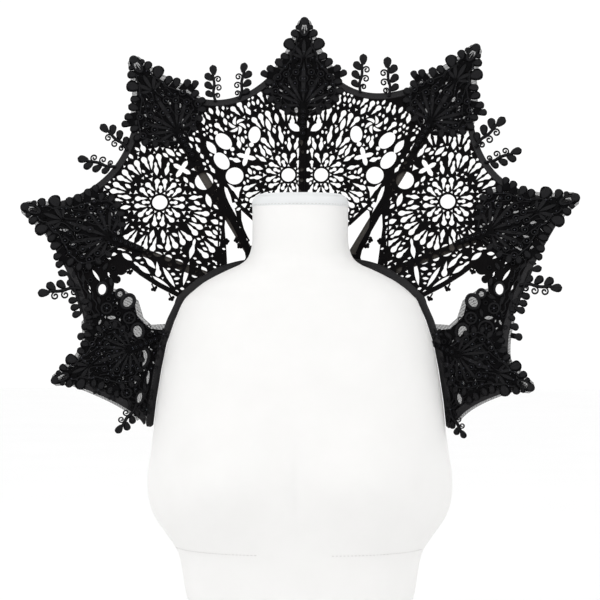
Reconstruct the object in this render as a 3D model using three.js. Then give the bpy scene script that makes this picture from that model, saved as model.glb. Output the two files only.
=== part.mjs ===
// Boned lace collar on a limbless dress form.
// Millimetres, +Z up, the front faces -Y, the origin is the centre of the form's flat base.
import * as THREE from 'three';

// Layers of the collar, as distances in front of (+) and behind (-) the middle of its cloth
const FAN_Z = 531;
const CLOTH = { near: 0.6, far: -0.6 };
const TAPE = { near: 1.2, far: -1.2 };
const LACE = { near: 3.5, far: 1.7 };
const BONE = { near: -2.1, far: -4.5 };

const SEAM = 0.4;
const RIM_SEAM = 0.7;
const STRAP_WIDTH = 8;
const BINDING_WIDTH = 8;
const BONE_WIDTH = 10;
const FORM_CLEARANCE = 1.6;
const MIN_BAR = 2.2;
const CLOTH_STEP = 24;
const STATION = 3;
const END_ANGLE = 132.6;

// The curved surface of the collar, by angle from straight up about the fan's centre
const SURFACE = [
  { angle: 0, baseRadius: 38, baseDepth: 72.5, lean: 0.235 },
  { angle: 20, baseRadius: 41, baseDepth: 71.5, lean: 0.225 },
  { angle: 37, baseRadius: 48, baseDepth: 69, lean: 0.165 },
  { angle: 55, baseRadius: 65, baseDepth: 62, lean: 0.05 },
  { angle: 67, baseRadius: 84, baseDepth: 51, lean: -0.04 },
  { angle: 75, baseRadius: 102, baseDepth: 35, lean: -0.08 },
  { angle: 86, baseRadius: 122, baseDepth: 15, lean: -0.14 },
  { angle: 97, baseRadius: 146, baseDepth: 3, lean: -0.24 },
  { angle: 111, baseRadius: 173, baseDepth: -8, lean: -0.38 },
  { angle: 122, baseRadius: 203, baseDepth: -14, lean: -0.45 },
  { angle: 134, baseRadius: 240, baseDepth: -18, lean: -0.48 },
  { angle: 150, baseRadius: 290, baseDepth: -20, lean: -0.48 },
];

// The seven spikes: where the lace tip is, and the direction of the bone in it
const SPIKES = [
  { name: 'lower_left', angle: -110.5, reach: 309.0, axis: -113, size: 0.84 },
  { name: 'side_left', angle: -73.3, reach: 356.6, axis: -70, size: 1 },
  { name: 'upper_left', angle: -36.8, reach: 369.7, axis: -32.2, size: 1 },
  { name: 'top', angle: -0.5, reach: 347.0, axis: 0, size: 1 },
  { name: 'upper_right', angle: 35.1, reach: 376.9, axis: 31, size: 1 },
  { name: 'side_right', angle: 71.5, reach: 352.7, axis: 69, size: 1 },
  { name: 'lower_right', angle: 112.7, reach: 298.9, axis: 114, size: 0.84 },
];
const LACE_PAST_RIM = 9;

// The scallops between the spikes, each by its lowest point
const VALLEYS = [
  { name: 'end_left', angle: -123.5, radius: 250 },
  { name: 'lower_left', angle: -96.9, radius: 260.0 },
  { name: 'upper_left', angle: -56.1, radius: 281.4 },
  { name: 'top_left', angle: -21.4, radius: 261.1 },
  { name: 'top_right', angle: 17.3, radius: 261.5 },
  { name: 'upper_right', angle: 55.0, radius: 276.3 },
  { name: 'lower_right', angle: 98.6, radius: 253.7 },
  { name: 'end_right', angle: 124, radius: 246 },
];
const END_RADIUS = 248;

// Sections of the dress form, from its base to the top of its neck
const FORM = [
  { z: 0, half: 166, middle: 0, front: 104, back: 104 },
  { z: 60, half: 150, middle: 0, front: 97, back: 97 },
  { z: 130, half: 131, middle: 2, front: 88, back: 82 },
  { z: 175, half: 138, middle: 1, front: 92, back: 84 },
  { z: 218, half: 146, middle: 0, front: 97, back: 86 },
  { z: 238, half: 158, middle: -2, front: 100, back: 87 },
  { z: 262, half: 174, middle: -4, front: 105, back: 88 },
  { z: 285, half: 181, middle: -6, front: 108, back: 89 },
  { z: 312, half: 181.5, middle: -8, front: 110, back: 90 },
  { z: 340, half: 177.3, middle: -9, front: 110, back: 91 },
  { z: 370, half: 173.5, middle: -10, front: 108, back: 92 },
  { z: 400, half: 170.4, middle: -8, front: 105, back: 93 },
  { z: 436, half: 165, middle: -5, front: 101, back: 93 },
  { z: 466, half: 159.3, middle: -2, front: 94, back: 92 },
  { z: 495, half: 150, middle: 1, front: 86, back: 86 },
  { z: 520, half: 139, middle: 4, front: 77, back: 78 },
  { z: 532, half: 126.6, middle: 7, front: 73, back: 72 },
  { z: 541, half: 115, middle: 8, front: 70, back: 67 },
  { z: 549, half: 100.6, middle: 9, front: 67, back: 63.5 },
  { z: 556, half: 86, middle: 9, front: 65, back: 61 },
  { z: 562, half: 72.5, middle: 8, front: 62, back: 59 },
  { z: 569, half: 64, middle: 8, front: 60, back: 57 },
  { z: 579, half: 59.5, middle: 7, front: 58, back: 56 },
  { z: 592, half: 57.5, middle: 6, front: 57, back: 56 },
  { z: 642.7, half: 57.5, middle: 6, front: 57, back: 56 },
];
const FORM_SIDES = 32;
const SECTION_POWER = 2.2;
const BUST = { x: 84, z: 308, rise: 38, across: 60, up: 56 };
const CAP = { bottom: 643, edge: 645.4, rim: 646.4, dish: 644.6, inset: 1.5, dishInset: 9 };
const NECK_BACK_RISE = 32;

const rad = THREE.MathUtils.degToRad;
const deg = THREE.MathUtils.radToDeg;
const point = (x, w) => new THREE.Vector2(x, w);
const polar = (angle, radius) => point(radius * Math.sin(rad(angle)), radius * Math.cos(rad(angle)));

// A smooth curve through one column of a table, level at its first row
function column(rows, key, name) {
  const last = rows.length - 1;
  const at = Math.min(Math.max(key, rows[0].angle), rows[last].angle);
  const slope = (i) => {
    if (i === 0) return 0;
    const next = Math.min(i + 1, last);
    return (rows[next][name] - rows[i - 1][name]) / (rows[next].angle - rows[i - 1].angle);
  };
  let i = 0;
  while (i < last - 1 && at > rows[i + 1].angle) i += 1;
  const span = rows[i + 1].angle - rows[i].angle;
  const s = (at - rows[i].angle) / span;
  const s2 = s * s;
  const s3 = s2 * s;
  return (2 * s3 - 3 * s2 + 1) * rows[i][name] + (s3 - 2 * s2 + s) * slope(i) * span
    + (3 * s2 - 2 * s3) * rows[i + 1][name] + (s3 - s2) * slope(i + 1) * span;
}

// How far back the collar's cloth lies at a place in the front view
function depthAt(p) {
  const angle = Math.abs(deg(Math.atan2(p.x, p.y)));
  const past = p.length() - column(SURFACE, angle, 'baseRadius');
  return column(SURFACE, angle, 'baseDepth') + column(SURFACE, angle, 'lean') * past;
}

// The point of space that lies a given distance in front of the cloth at a place
function onCloth(p, offset) {
  const step = 1;
  const slopeX = (depthAt(point(p.x + step, p.y)) - depthAt(point(p.x - step, p.y))) / (2 * step);
  const slopeW = (depthAt(point(p.x, p.y + step)) - depthAt(point(p.x, p.y - step))) / (2 * step);
  const forward = new THREE.Vector3(slopeX, -1, slopeW).normalize();
  return new THREE.Vector3(p.x, depthAt(p), FAN_Z + p.y).addScaledVector(forward, offset);
}

// The collar's inner edge follows the form's outline in the front view and passes behind the neck
function formHalfWidth(z) {
  let i = 0;
  while (i < FORM.length - 2 && z > FORM[i + 1].z) i += 1;
  const s = (z - FORM[i].z) / (FORM[i + 1].z - FORM[i].z);
  return THREE.MathUtils.lerp(FORM[i].half, FORM[i + 1].half, s);
}
const SHOULDER_END = { z: 547, pullX: 84, pullW: 30, neckX: 50 };
const BASE_EDGE = [];
for (let z = 350; z <= SHOULDER_END.z; z += 4) {
  BASE_EDGE.push(point(formHalfWidth(z) + FORM_CLEARANCE, z - FAN_Z));
}
BASE_EDGE.push(...new THREE.QuadraticBezierCurve(
  BASE_EDGE[BASE_EDGE.length - 1].clone(),
  point(SHOULDER_END.pullX, SHOULDER_END.pullW),
  point(SHOULDER_END.neckX, NECK_BACK_RISE - 0.8),
).getPoints(16).slice(1));
BASE_EDGE.push(point(0, NECK_BACK_RISE));

// Radius at which the ray at an angle meets a chain of points
function rayHit(angle, chain) {
  const dir = polar(angle, 1);
  for (let i = 0; i + 1 < chain.length; i += 1) {
    const a = chain[i];
    const edge = chain[i + 1].clone().sub(a);
    const cross = dir.x * edge.y - dir.y * edge.x;
    if (Math.abs(cross) < 1e-9) continue;
    const along = (a.x * dir.y - a.y * dir.x) / cross;
    const radius = (a.x * edge.y - a.y * edge.x) / cross;
    if (along >= -1e-6 && along <= 1 + 1e-6 && radius > 0) return radius;
  }
  return 0;
}
const baseRadius = (angle) => rayHit(Math.abs(angle), BASE_EDGE);

// The outer edge: one curve for each scallop, from spike to spike through its lowest point
const rimTip = (spike) => polar(spike.angle, spike.reach - LACE_PAST_RIM);
const STOPS = [polar(-END_ANGLE, END_RADIUS), ...SPIKES.map(rimTip), polar(END_ANGLE, END_RADIUS)];
const SCALLOPS = VALLEYS.map((valley, i) => {
  const low = polar(valley.angle, valley.radius);
  const pull = low.clone().multiplyScalar(2).sub(STOPS[i].clone().add(STOPS[i + 1]).multiplyScalar(0.5));
  const curve = new THREE.QuadraticBezierCurve(STOPS[i], pull, STOPS[i + 1]);
  return {
    name: valley.name,
    chain: curve.getPoints(60),
    from: deg(Math.atan2(STOPS[i].x, STOPS[i].y)),
    to: deg(Math.atan2(STOPS[i + 1].x, STOPS[i + 1].y)),
  };
});
function rimRadius(angle) {
  const scallop = SCALLOPS.find((s) => angle >= s.from && angle <= s.to) ?? SCALLOPS[angle < 0 ? 0 : 7];
  return rayHit(angle, scallop.chain);
}

// Radius of a line that runs a set distance inside or outside a radius curve
function shifted(radiusAt, angle, distance, side) {
  const step = 0.4;
  const here = radiusAt(angle);
  const other = radiusAt(angle + side * step);
  const slope = (other - here) / rad(step) / here;
  return here + distance * Math.sqrt(1 + slope * slope);
}
const strapOuter = (angle, gap) => shifted(baseRadius, angle, STRAP_WIDTH + gap, angle < 0 ? 1 : -1);

// Angles from one to another: both ends, and between them the same stations for every piece
function stations(from, to) {
  const [low, high] = [Math.min(from, to), Math.max(from, to)];
  const out = [low];
  for (let i = Math.ceil(low / STATION); i * STATION < high; i += 1) {
    if (i * STATION - low > 0.6 && high - i * STATION > 0.6) out.push(i * STATION);
  }
  out.push(high);
  return from < to ? out : out.reverse();
}

// Flat plan geometry: area, inside test and distances
const signedArea = (loop) => THREE.ShapeUtils.area(loop);
const wound = (loop, sign) => (Math.sign(signedArea(loop)) === sign ? loop : [...loop].reverse());
function inside(p, loop) {
  let odd = false;
  for (let i = 0, j = loop.length - 1; i < loop.length; j = i, i += 1) {
    const a = loop[i];
    const b = loop[j];
    if ((a.y > p.y) !== (b.y > p.y) && p.x < (b.x - a.x) * (p.y - a.y) / (b.y - a.y) + a.x) odd = !odd;
  }
  return odd;
}
function toSegment(p, a, b) {
  const edge = b.clone().sub(a);
  const s = THREE.MathUtils.clamp(p.clone().sub(a).dot(edge) / Math.max(edge.lengthSq(), 1e-9), 0, 1);
  return p.distanceTo(a.clone().addScaledVector(edge, s));
}
function toLoop(p, loop) {
  let best = Infinity;
  for (let i = 0; i < loop.length; i += 1) {
    best = Math.min(best, toSegment(p, loop[i], loop[(i + 1) % loop.length]));
  }
  return best;
}
function loopGap(a, b) {
  const side = (p, q, r) => Math.sign((q.x - p.x) * (r.y - p.y) - (q.y - p.y) * (r.x - p.x));
  const crossed = a.some((p, i) => b.some((u, j) => {
    const q = a[(i + 1) % a.length];
    const v = b[(j + 1) % b.length];
    return side(p, q, u) !== side(p, q, v) && side(u, v, p) !== side(u, v, q);
  }));
  return crossed ? 0 : Math.min(...a.map((p) => toLoop(p, b)), ...b.map((p) => toLoop(p, a)));
}

// Keeps each opening that leaves a bar round it, largest first as they are listed
function keepOpenings(outline, wanted, limit, bar = MIN_BAR) {
  const kept = [];
  for (const hole of wanted) {
    if (kept.length >= limit) break;
    if (!hole.every((p) => inside(p, outline)) || loopGap(hole, outline) < bar) continue;
    const centre = middle(hole);
    const apart = kept.every((other) => {
      if (middle(other).distanceTo(centre) > 60) return true;
      return !inside(centre, other) && !inside(middle(other), hole) && loopGap(hole, other) >= bar;
    });
    if (apart) kept.push(hole);
  }
  return kept;
}
function middle(loop) {
  return loop.reduce((sum, p) => sum.add(p), point(0, 0)).divideScalar(loop.length);
}

// Splits long edges so that a wall bends with the surface
function dense(loop, step) {
  const out = [];
  loop.forEach((a, i) => {
    const b = loop[(i + 1) % loop.length];
    const parts = Math.max(1, Math.ceil(a.distanceTo(b) / step));
    for (let k = 0; k < parts; k += 1) out.push(a.clone().lerp(b, k / parts));
  });
  return out;
}

// Swaps the diagonals of neighbouring triangles until none is long and thin without need
function evenOut(points, faces) {
  const turn = (a, b, c) => (b.x - a.x) * (c.y - a.y) - (b.y - a.y) * (c.x - a.x);
  const insideCircle = (a, b, c, d) => {
    const rows = [a, b, c].map((p) => [p.x - d.x, p.y - d.y, (p.x - d.x) ** 2 + (p.y - d.y) ** 2]);
    const [u, v, t] = rows;
    return u[0] * (v[1] * t[2] - v[2] * t[1]) - u[1] * (v[0] * t[2] - v[2] * t[0])
      + u[2] * (v[0] * t[1] - v[1] * t[0]);
  };
  for (let pass = 0; pass < 40; pass += 1) {
    const owner = new Map();
    faces.forEach((f, i) => f.forEach((v, k) => owner.set(`${v},${f[(k + 1) % 3]}`, i)));
    const touched = new Set();
    let swaps = 0;
    for (let i = 0; i < faces.length; i += 1) {
      for (let k = 0; k < 3 && !touched.has(i); k += 1) {
        const [a, b, c] = [faces[i][k], faces[i][(k + 1) % 3], faces[i][(k + 2) % 3]];
        const j = owner.get(`${b},${a}`);
        if (j === undefined || touched.has(j)) continue;
        const d = faces[j].find((v) => v !== a && v !== b);
        const [A, B, C, D] = [points[a], points[b], points[c], points[d]];
        if (insideCircle(A, B, C, D) <= 1e-6) continue;
        if (turn(C, A, D) <= 1e-6 || turn(D, B, C) <= 1e-6) continue;
        faces[i] = [c, a, d];
        faces[j] = [d, b, c];
        touched.add(i).add(j);
        swaps += 1;
      }
    }
    if (swaps === 0) break;
  }
  return faces;
}

// Points moved by a hair, so that no three of them are exactly in line while they are joined
function nudged(loop) {
  return loop.map((p) => p.clone().add(point(Math.sin(p.x * 91.7 + p.y * 37.1), Math.cos(p.x * 53.3)).multiplyScalar(0.004)));
}

// A closed wall between two offsets of the cloth, with openings cut through
function wall(outline, holes, layer, step = CLOTH_STEP) {
  const rim = wound(dense(outline, step), 1);
  const cuts = holes.map((hole) => wound(hole, -1));
  const fill = [];
  const xs = rim.map((p) => p.x);
  const ys = rim.map((p) => p.y);
  const margin = step * 0.45;
  for (let y = Math.min(...ys) + step / 2, row = 0; y < Math.max(...ys); y += step * 0.87, row += 1) {
    for (let x = Math.min(...xs) + (row % 2) * step / 2; x < Math.max(...xs); x += step) {
      const p = point(x, y);
      if (!inside(p, rim) || toLoop(p, rim) < margin) continue;
      if (cuts.some((cut) => inside(p, cut) || toLoop(p, cut) < margin)) continue;
      fill.push(p);
    }
  }
  const points = [rim, ...cuts].flat();
  const flat = THREE.ShapeUtils.triangulateShape(nudged(rim), cuts.map(nudged));
  const total = flat.reduce((sum, f) => sum + signedArea(f.map((v) => points[v])), 0);
  const faces = flat.map((f) => (total > 0 ? [...f] : [f[0], f[2], f[1]]));
  for (const p of fill) {
    const hit = faces.findIndex((f) => inside(p, f.map((v) => points[v])));
    if (hit < 0) continue;
    const [a, b, c] = faces[hit];
    const fresh = points.push(p) - 1;
    faces.splice(hit, 1, [a, b, fresh], [b, c, fresh], [c, a, fresh]);
  }
  evenOut(points, faces);
  const count = points.length;
  const positions = [layer.near, layer.far].flatMap((offset) => (
    points.flatMap((p) => onCloth(p, offset).toArray())));
  const edges = new Set(faces.flatMap((f) => f.map((v, k) => `${v},${f[(k + 1) % 3]}`)));
  const index = [];
  for (const [a, b, c] of faces) {
    index.push(a, b, c, c + count, b + count, a + count);
    for (const [from, to] of [[a, b], [b, c], [c, a]]) {
      if (edges.has(`${to},${from}`)) continue;
      index.push(from, from + count, to + count, from, to + count, to);
    }
  }
  const geometry = new THREE.BufferGeometry();
  geometry.setAttribute('position', new THREE.Float32BufferAttribute(positions, 3));
  geometry.setIndex(index);
  geometry.computeVertexNormals();
  return geometry;
}

// Openings of the tracery and the lace, each a closed loop round its own centre
function place(loop, x, w, turn, flip = 1) {
  const c = Math.cos(rad(turn));
  const s = Math.sin(rad(turn));
  return loop.map((p) => point(x + flip * (p.x * c + p.y * s), w - p.x * s + p.y * c));
}
function round(x, w, radiusX, radiusY, turn = 0, sides = 10) {
  const loop = Array.from({ length: sides }, (_, i) => {
    const t = (i + 0.5) / sides * 2 * Math.PI;
    return point(radiusX * Math.cos(t), radiusY * Math.sin(t));
  });
  return place(loop, x, w, turn);
}
// Pointed at both ends, as a lancet light between two bars
function lancet(x, w, length, width, turn) {
  const [h, b] = [length / 2, width / 2];
  const loop = [[0, h], [-b, h * 0.3], [-b, -h * 0.3], [0, -h], [b, -h * 0.3], [b, h * 0.3]];
  return place(loop.map(([u, v]) => point(u, v)), x, w, turn);
}
// Pointed at the foot and round at the head, as a petal of a rose window
function petal(x, w, length, width, turn) {
  const [h, b] = [length / 2, width / 2];
  const loop = [[0, -h], [b * 0.75, h * 0.1], [b, h * 0.55], [b * 0.45, h], [-b * 0.45, h], [-b, h * 0.55],
    [-b * 0.75, h * 0.1]];
  return place(loop.map(([u, v]) => point(u, v)), x, w, turn);
}
// Four or three round lobes
function foils(x, w, radius, lobes, turn = 0) {
  const sides = lobes * 4;
  const loop = Array.from({ length: sides }, (_, i) => {
    const t = i / sides * 2 * Math.PI;
    const reach = radius * (0.74 + 0.26 * Math.cos(lobes * t));
    return point(reach * Math.sin(t), reach * Math.cos(t));
  });
  return place(loop, x, w, turn);
}
// A rose window: a round eye, petals, then two rings of lancets
const ROSE = {
  eye: 9, petals: 10, petalFrom: 11.6, petalTo: 24.5, rings: [
    { lights: 18, from: 27, to: 43, width: 6.6 },
    { lights: 22, from: 45.5, to: 61, width: 6.8 },
  ],
};
function rose(x, w, scale = 1) {
  const out = [round(x, w, ROSE.eye * scale, ROSE.eye * scale)];
  const petalLength = (ROSE.petalTo - ROSE.petalFrom) * scale;
  const petalMid = (ROSE.petalTo + ROSE.petalFrom) / 2 * scale;
  for (let i = 0; i < ROSE.petals; i += 1) {
    const turn = i / ROSE.petals * 360;
    const at = polar(turn, petalMid);
    out.push(petal(x + at.x, w + at.y, petalLength, 9.6 * scale, turn));
  }
  ROSE.rings.forEach((ring) => {
    for (let i = 0; i < ring.lights; i += 1) {
      const turn = (i + 0.5) / ring.lights * 360;
      const at = polar(turn, (ring.from + ring.to) / 2 * scale);
      out.push(lancet(x + at.x, w + at.y, (ring.to - ring.from) * scale, ring.width * scale, turn));
    }
  });
  return out;
}
// Rows of radial lancets that fill what is left between the larger openings
function fillRows(fromAngle, toAngle, fromRadius, toRadius, length, width, lean = 0) {
  const out = [];
  let row = 0;
  for (let radius = fromRadius; radius < toRadius; radius += length + 3.2, row += 1) {
    const pitch = deg((width + 3) / radius);
    for (let angle = fromAngle + (row % 2) * pitch / 2; angle < toAngle; angle += pitch) {
      const at = polar(angle, radius);
      out.push(lancet(at.x, at.y, length, width, angle + lean));
    }
  }
  return out;
}

// Named openings of the left half; the right half mirrors them
const BACK_OPENINGS = [
  round(-65, 196, 7.2, 10), round(-102, 187.6, 8.7, 12, -45), round(-90, 142.8, 11, 11),
  round(-105, 164, 10, 12.6, -30), foils(-75, 168, 12, 4), foils(-86, 207.6, 11.5, 3, 20),
  petal(-118, 180, 15, 9, -35), round(-13.8, 206, 6.4, 8.4, 20), lancet(-82, 92, 62, 13, -22),
  lancet(-60, 84, 46, 10, -33), lancet(-90, 54, 34, 9, 14),
];
const SIDE_OPENINGS = [
  round(-125, 136.5, 11, 11), foils(-153, 152, 12, 4), lancet(-127, 160, 24, 9, -20),
  lancet(-150, 178, 22, 9, -30), lancet(-118, 96, 44, 10, 4), lancet(-121, 52, 34, 9, 20),
  lancet(-150, 44, 58, 8, -62), lancet(-176, 42, 52, 7, -70), lancet(-138, 26, 30, 7, -40),
];
const LOWER_OPENINGS = [
  round(-214, -22, 9, 7, 30), round(-196, -48, 8, 9, 20), round(-214, -52, 6, 6), round(-196, -76, 7, 9),
  petal(-182, -62, 14, 9, 160), petal(-184, -96, 15, 9, 10), petal(-196, -116, 13, 8, 20),
  round(-232, -32, 6, 5), round(-186, -130, 6, 5),
];
const mirrored = (holes) => holes.map((hole) => hole.map((p) => point(-p.x, p.y)));

// Plan outlines of the cut pieces
const ends = (angle, radius) => polar(angle, radius);
const COVERED = 72;
// Outer edge of the cloth under the binding, cut back inside each spike where lace takes over
function clothEdge(angle) {
  const scallop = SCALLOPS.find((s) => angle >= s.from && angle <= s.to) ?? SCALLOPS[angle < 0 ? 0 : 7];
  const side = angle < (scallop.from + scallop.to) / 2 ? 1 : -1;
  const bound = shifted(rimRadius, angle, -(BINDING_WIDTH + RIM_SEAM), side);
  const near = SPIKES.reduce((best, spike) => (
    Math.abs(spike.angle - angle) < Math.abs(best.angle - angle) ? spike : best));
  const cut = near.reach - COVERED;
  return Math.min(bound, Math.abs(near.angle - angle) < 16 ? cut : bound);
}
function panelArc(from, to) {
  return stations(from, to).map((angle) => ends(angle, clothEdge(angle)));
}
function strapArc(from, to) {
  return stations(from, to).map((angle) => ends(angle, strapOuter(angle, SEAM)));
}
// The seam between the back and a side runs up a mullion and on beside the upper bone
const MULLION_ANGLE = 72;
const MULLION = [[105.6, 145.3], [114, 155.4], [125.8, 174.5], [130, 188.7], [136, 214]];
const MULLION_TOP = 33.5;
// The lower edge of a side panel is a rib over the open window; the lower lace starts under it
const RIB = { outer: [222, 30], corner: [228, 6], rimAngle: 97.6 };
const SILL = [[225.8, -3], [199, -8.4], [180.5, -37]];
const SILL_RIM_ANGLE = 98.7;
const SILL_ANGLE = 106.5;
const RIB_ANGLE = 93.2;

function backOutline(side) {
  const half = SEAM / 2;
  const bottom = strapArc(side * MULLION_ANGLE, side * 0.3);
  const top = panelArc(side * 0.3, side * MULLION_TOP);
  const seam = [...MULLION].reverse().map(([x, w]) => point(side * (x - half), w));
  return [...bottom.map((p, i) => (i === 0 ? p.clone().add(point(-side * half, 0)) : p)), ...top, ...seam];
}
function sideOutline(side) {
  const half = SEAM / 2;
  const seam = MULLION.map(([x, w]) => point(side * (x + half), w));
  const top = panelArc(side * (MULLION_TOP + 0.2), side * RIB.rimAngle);
  const rib = [RIB.corner, RIB.outer].map(([x, w]) => point(side * x, w));
  const bottom = strapArc(side * RIB_ANGLE, side * (MULLION_ANGLE + 0.25));
  return [...seam, ...top, ...rib, ...bottom];
}
// The angle near an end at which an outer line comes within a gap of the strap
function meetsStrap(side, outerAt, gap) {
  let angle = 115;
  while (angle < END_ANGLE && outerAt(side * angle) - strapOuter(side * angle, SEAM) > gap) angle += 0.5;
  return side * angle;
}
function lowerOutline(side) {
  const last = meetsStrap(side, clothEdge, 3);
  const rimSide = panelArc(side * SILL_RIM_ANGLE, last);
  const strapSide = strapArc(last, side * SILL_ANGLE);
  const sill = [...SILL].reverse().map(([x, w]) => point(side * x, w));
  return [...rimSide, ...strapSide, ...sill];
}
function stripOutline(from, to, innerAt, outerAt) {
  const angles = stations(from, to);
  const outer = angles.map((angle) => polar(angle, outerAt(angle)));
  const inner = angles.map((angle) => polar(angle, innerAt(angle))).reverse();
  return [...outer, ...inner];
}

// Guipure motif of one spike: half its width along its length, from the tip loop to the foot
const MOTIF = [
  [0, 2.4], [3, 6.2], [10, 8.4], [17, 7.6], [21, 5.4], [25, 11.5], [32, 13.6], [37, 10.5],
  [43, 18], [51, 21.5], [56, 18.5], [63, 27], [71, 27.5], [79, 37], [86, 36.8],
  [93, 43], [100, 42.6], [105, 37.5], [110, 36.5], [114, 30], [121, 25], [126, 14], [130, 5],
];
const MOTIF_OPENINGS = [
  round(0, 11, 3.4, 7.4, 0, 8), round(-6.6, 31, 3, 4, 20, 6), round(6.6, 31, 3, 4, -20, 6),
  lancet(0, 50, 17, 7, 0), lancet(-17, 74, 17, 7.4, 25), lancet(17, 74, 17, 7.4, -25),
  round(0, 82, 5, 8, 0, 6), lancet(-29, 97, 14, 7, 52), lancet(29, 97, 14, 7, -52), round(0, 110, 5.2, 5.2, 0, 6),
];
function spikePoint(spike, u, v) {
  const tip = polar(spike.angle, spike.reach);
  return tip.addScaledVector(polar(spike.axis, 1), -v).addScaledVector(polar(spike.axis + 90, 1), u);
}
function motif(spike) {
  const at = (u, v) => spikePoint(spike, u * spike.size, v * spike.size);
  const right = MOTIF.map(([v, u]) => at(u, v));
  const left = [...MOTIF].reverse().map(([v, u]) => at(-u, v));
  const holes = MOTIF_OPENINGS.map((hole) => hole.map((p) => at(p.x, p.y)));
  return wall([...left, ...right], holes, LACE, 30);
}

// Leafy sprigs that cross the binding: place, direction and size
const SPRIGS = [
  { name: 'sprig_top_left_a', x: -117, w: 258, turn: -4, size: 1 },
  { name: 'sprig_top_left_b', x: -80.7, w: 264, turn: 6, size: 1 },
  { name: 'sprig_top_right_a', x: 104.5, w: 268, turn: -4, size: 1.08 },
  { name: 'sprig_top_right_b', x: 69.8, w: 273, turn: 6, size: 1.05 },
  { name: 'sprig_upper_left_a', x: -236.5, w: 190, turn: -48, size: 1 },
  { name: 'sprig_upper_left_b', x: -256, w: 157, turn: -76, size: 1 },
  { name: 'sprig_upper_right_a', x: 229, w: 194, turn: 46, size: 1.1 },
  { name: 'sprig_upper_right_b', x: 245, w: 163, turn: 70, size: 1 },
  { name: 'sprig_lower_left', x: -287, w: -1, turn: -98, size: 1.05 },
  { name: 'sprig_lower_right', x: 285, w: 4, turn: 96, size: 1.05 },
  { name: 'sprig_end_left', x: -204, w: -152, turn: -146, size: 0.85 },
  { name: 'sprig_end_right', x: 188, w: -158, turn: 150, size: 0.75 },
];
const LEAF_SIDE = [[-20, 1.4], [-12, 1.6], [-8, 7.4], [-4, 1.9], [-1, 7.8], [3, 2], [6, 6.8], [10, 2], [13, 4.4], [20, 0.8]];
const SCROLL_SIDE = [[17, 4.6], [11, 2], [7, 6], [2, 2.4], [-3, 6.4], [-8, 2.2], [-13, 4.6], [-18, 1.6]];
function sprig(row) {
  const leaves = LEAF_SIDE.map(([v, u]) => point(u * row.size, v * row.size));
  const scrolls = SCROLL_SIDE.map(([v, u]) => point(-u * row.size, v * row.size));
  return wall(place([...leaves, ...scrolls], row.x, row.w, row.turn), [], LACE, 30);
}

// A bone channel: a straight flat casing behind the cloth, from the strap to near the spike's tip
function bone(spike) {
  const tip = polar(spike.angle, spike.reach);
  const dir = polar(spike.axis, 1);
  let length = 30;
  const clearOfStrap = (p) => p.length() > strapOuter(deg(Math.atan2(p.x, p.y)), -4);
  while (clearOfStrap(tip.clone().addScaledVector(dir, -length - 1)) && length < 320) length += 1;
  const half = BONE_WIDTH / 2;
  const from = 30;
  const corner = (u, v) => spikePoint(spike, u, v);
  return wall([corner(-half, from), corner(-half, length), corner(half, length), corner(half, from)], [], BONE, 45);
}

// The dress form: rings of a rounded section, closed at the base and the neck
function section(row, sides = FORM_SIDES) {
  return Array.from({ length: sides }, (_, i) => {
    const t = i / sides * 2 * Math.PI;
    const c = Math.cos(t);
    const s = Math.sin(t);
    const power = 2 / SECTION_POWER;
    const x = row.half * Math.sign(c) * Math.abs(c) ** power;
    const reach = s < 0 ? row.front : row.back;
    let y = row.middle + reach * Math.sign(s) * Math.abs(s) ** power;
    if (s < 0) {
      const across = (Math.abs(x) - BUST.x) / BUST.across;
      const up = (row.z - BUST.z) / BUST.up;
      y -= BUST.rise * Math.exp(-across * across - up * up) * Math.min(1, -s * 2);
    }
    return [x, y, row.z];
  });
}
function loft(rings, lowCentre, highCentre) {
  const sides = rings[0].length;
  const positions = [...rings.flat(2), ...lowCentre, ...highCentre];
  const low = rings.length * sides;
  const index = [];
  for (let i = 0; i < sides; i += 1) {
    const j = (i + 1) % sides;
    for (let k = 0; k + 1 < rings.length; k += 1) {
      const [a, b] = [k * sides + i, k * sides + j];
      index.push(a, b, b + sides, a, b + sides, a + sides);
    }
    index.push(low, j, i, low + 1, low - sides + i, low - sides + j);
  }
  const geometry = new THREE.BufferGeometry();
  geometry.setAttribute('position', new THREE.Float32BufferAttribute(positions, 3));
  geometry.setIndex(index);
  geometry.computeVertexNormals();
  return geometry;
}
function dressForm() {
  const top = FORM[FORM.length - 1];
  return loft(FORM.map((row) => section(row)), [0, 0, FORM[0].z], [0, top.middle, top.z]);
}
function neckCap() {
  const neck = FORM[FORM.length - 1];
  const ring = (z, inset) => section({
    z, half: neck.half - inset, middle: neck.middle, front: neck.front - inset, back: neck.back - inset,
  });
  const rings = [ring(CAP.bottom, 0), ring(CAP.edge, 0), ring(CAP.rim, CAP.inset), ring(CAP.dish, CAP.dishInset)];
  return loft(rings, [0, neck.middle, CAP.bottom], [0, neck.middle, CAP.dish - 0.6]);
}

// Materials
const cloth = (color, roughness) => new THREE.MeshStandardMaterial({ color, roughness, metalness: 0 });
const COLOURS = {
  form: ['#f2f0ee', 0.85], cap: ['#efedea', 0.7], tracery: ['#0b0a0a', 0.8], lace: ['#08080a', 0.75],
  satin: ['#1d1c1f', 0.35], bone: ['#3d3632', 0.6],
};

// The assembly
const collar = new THREE.Group();
function add(name, geometry, finish) {
  const mesh = new THREE.Mesh(geometry, cloth(...COLOURS[finish]));
  mesh.name = name;
  collar.add(mesh);
}
add('dress_form', dressForm(), 'form');
add('neck_cap', neckCap(), 'cap');

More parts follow.
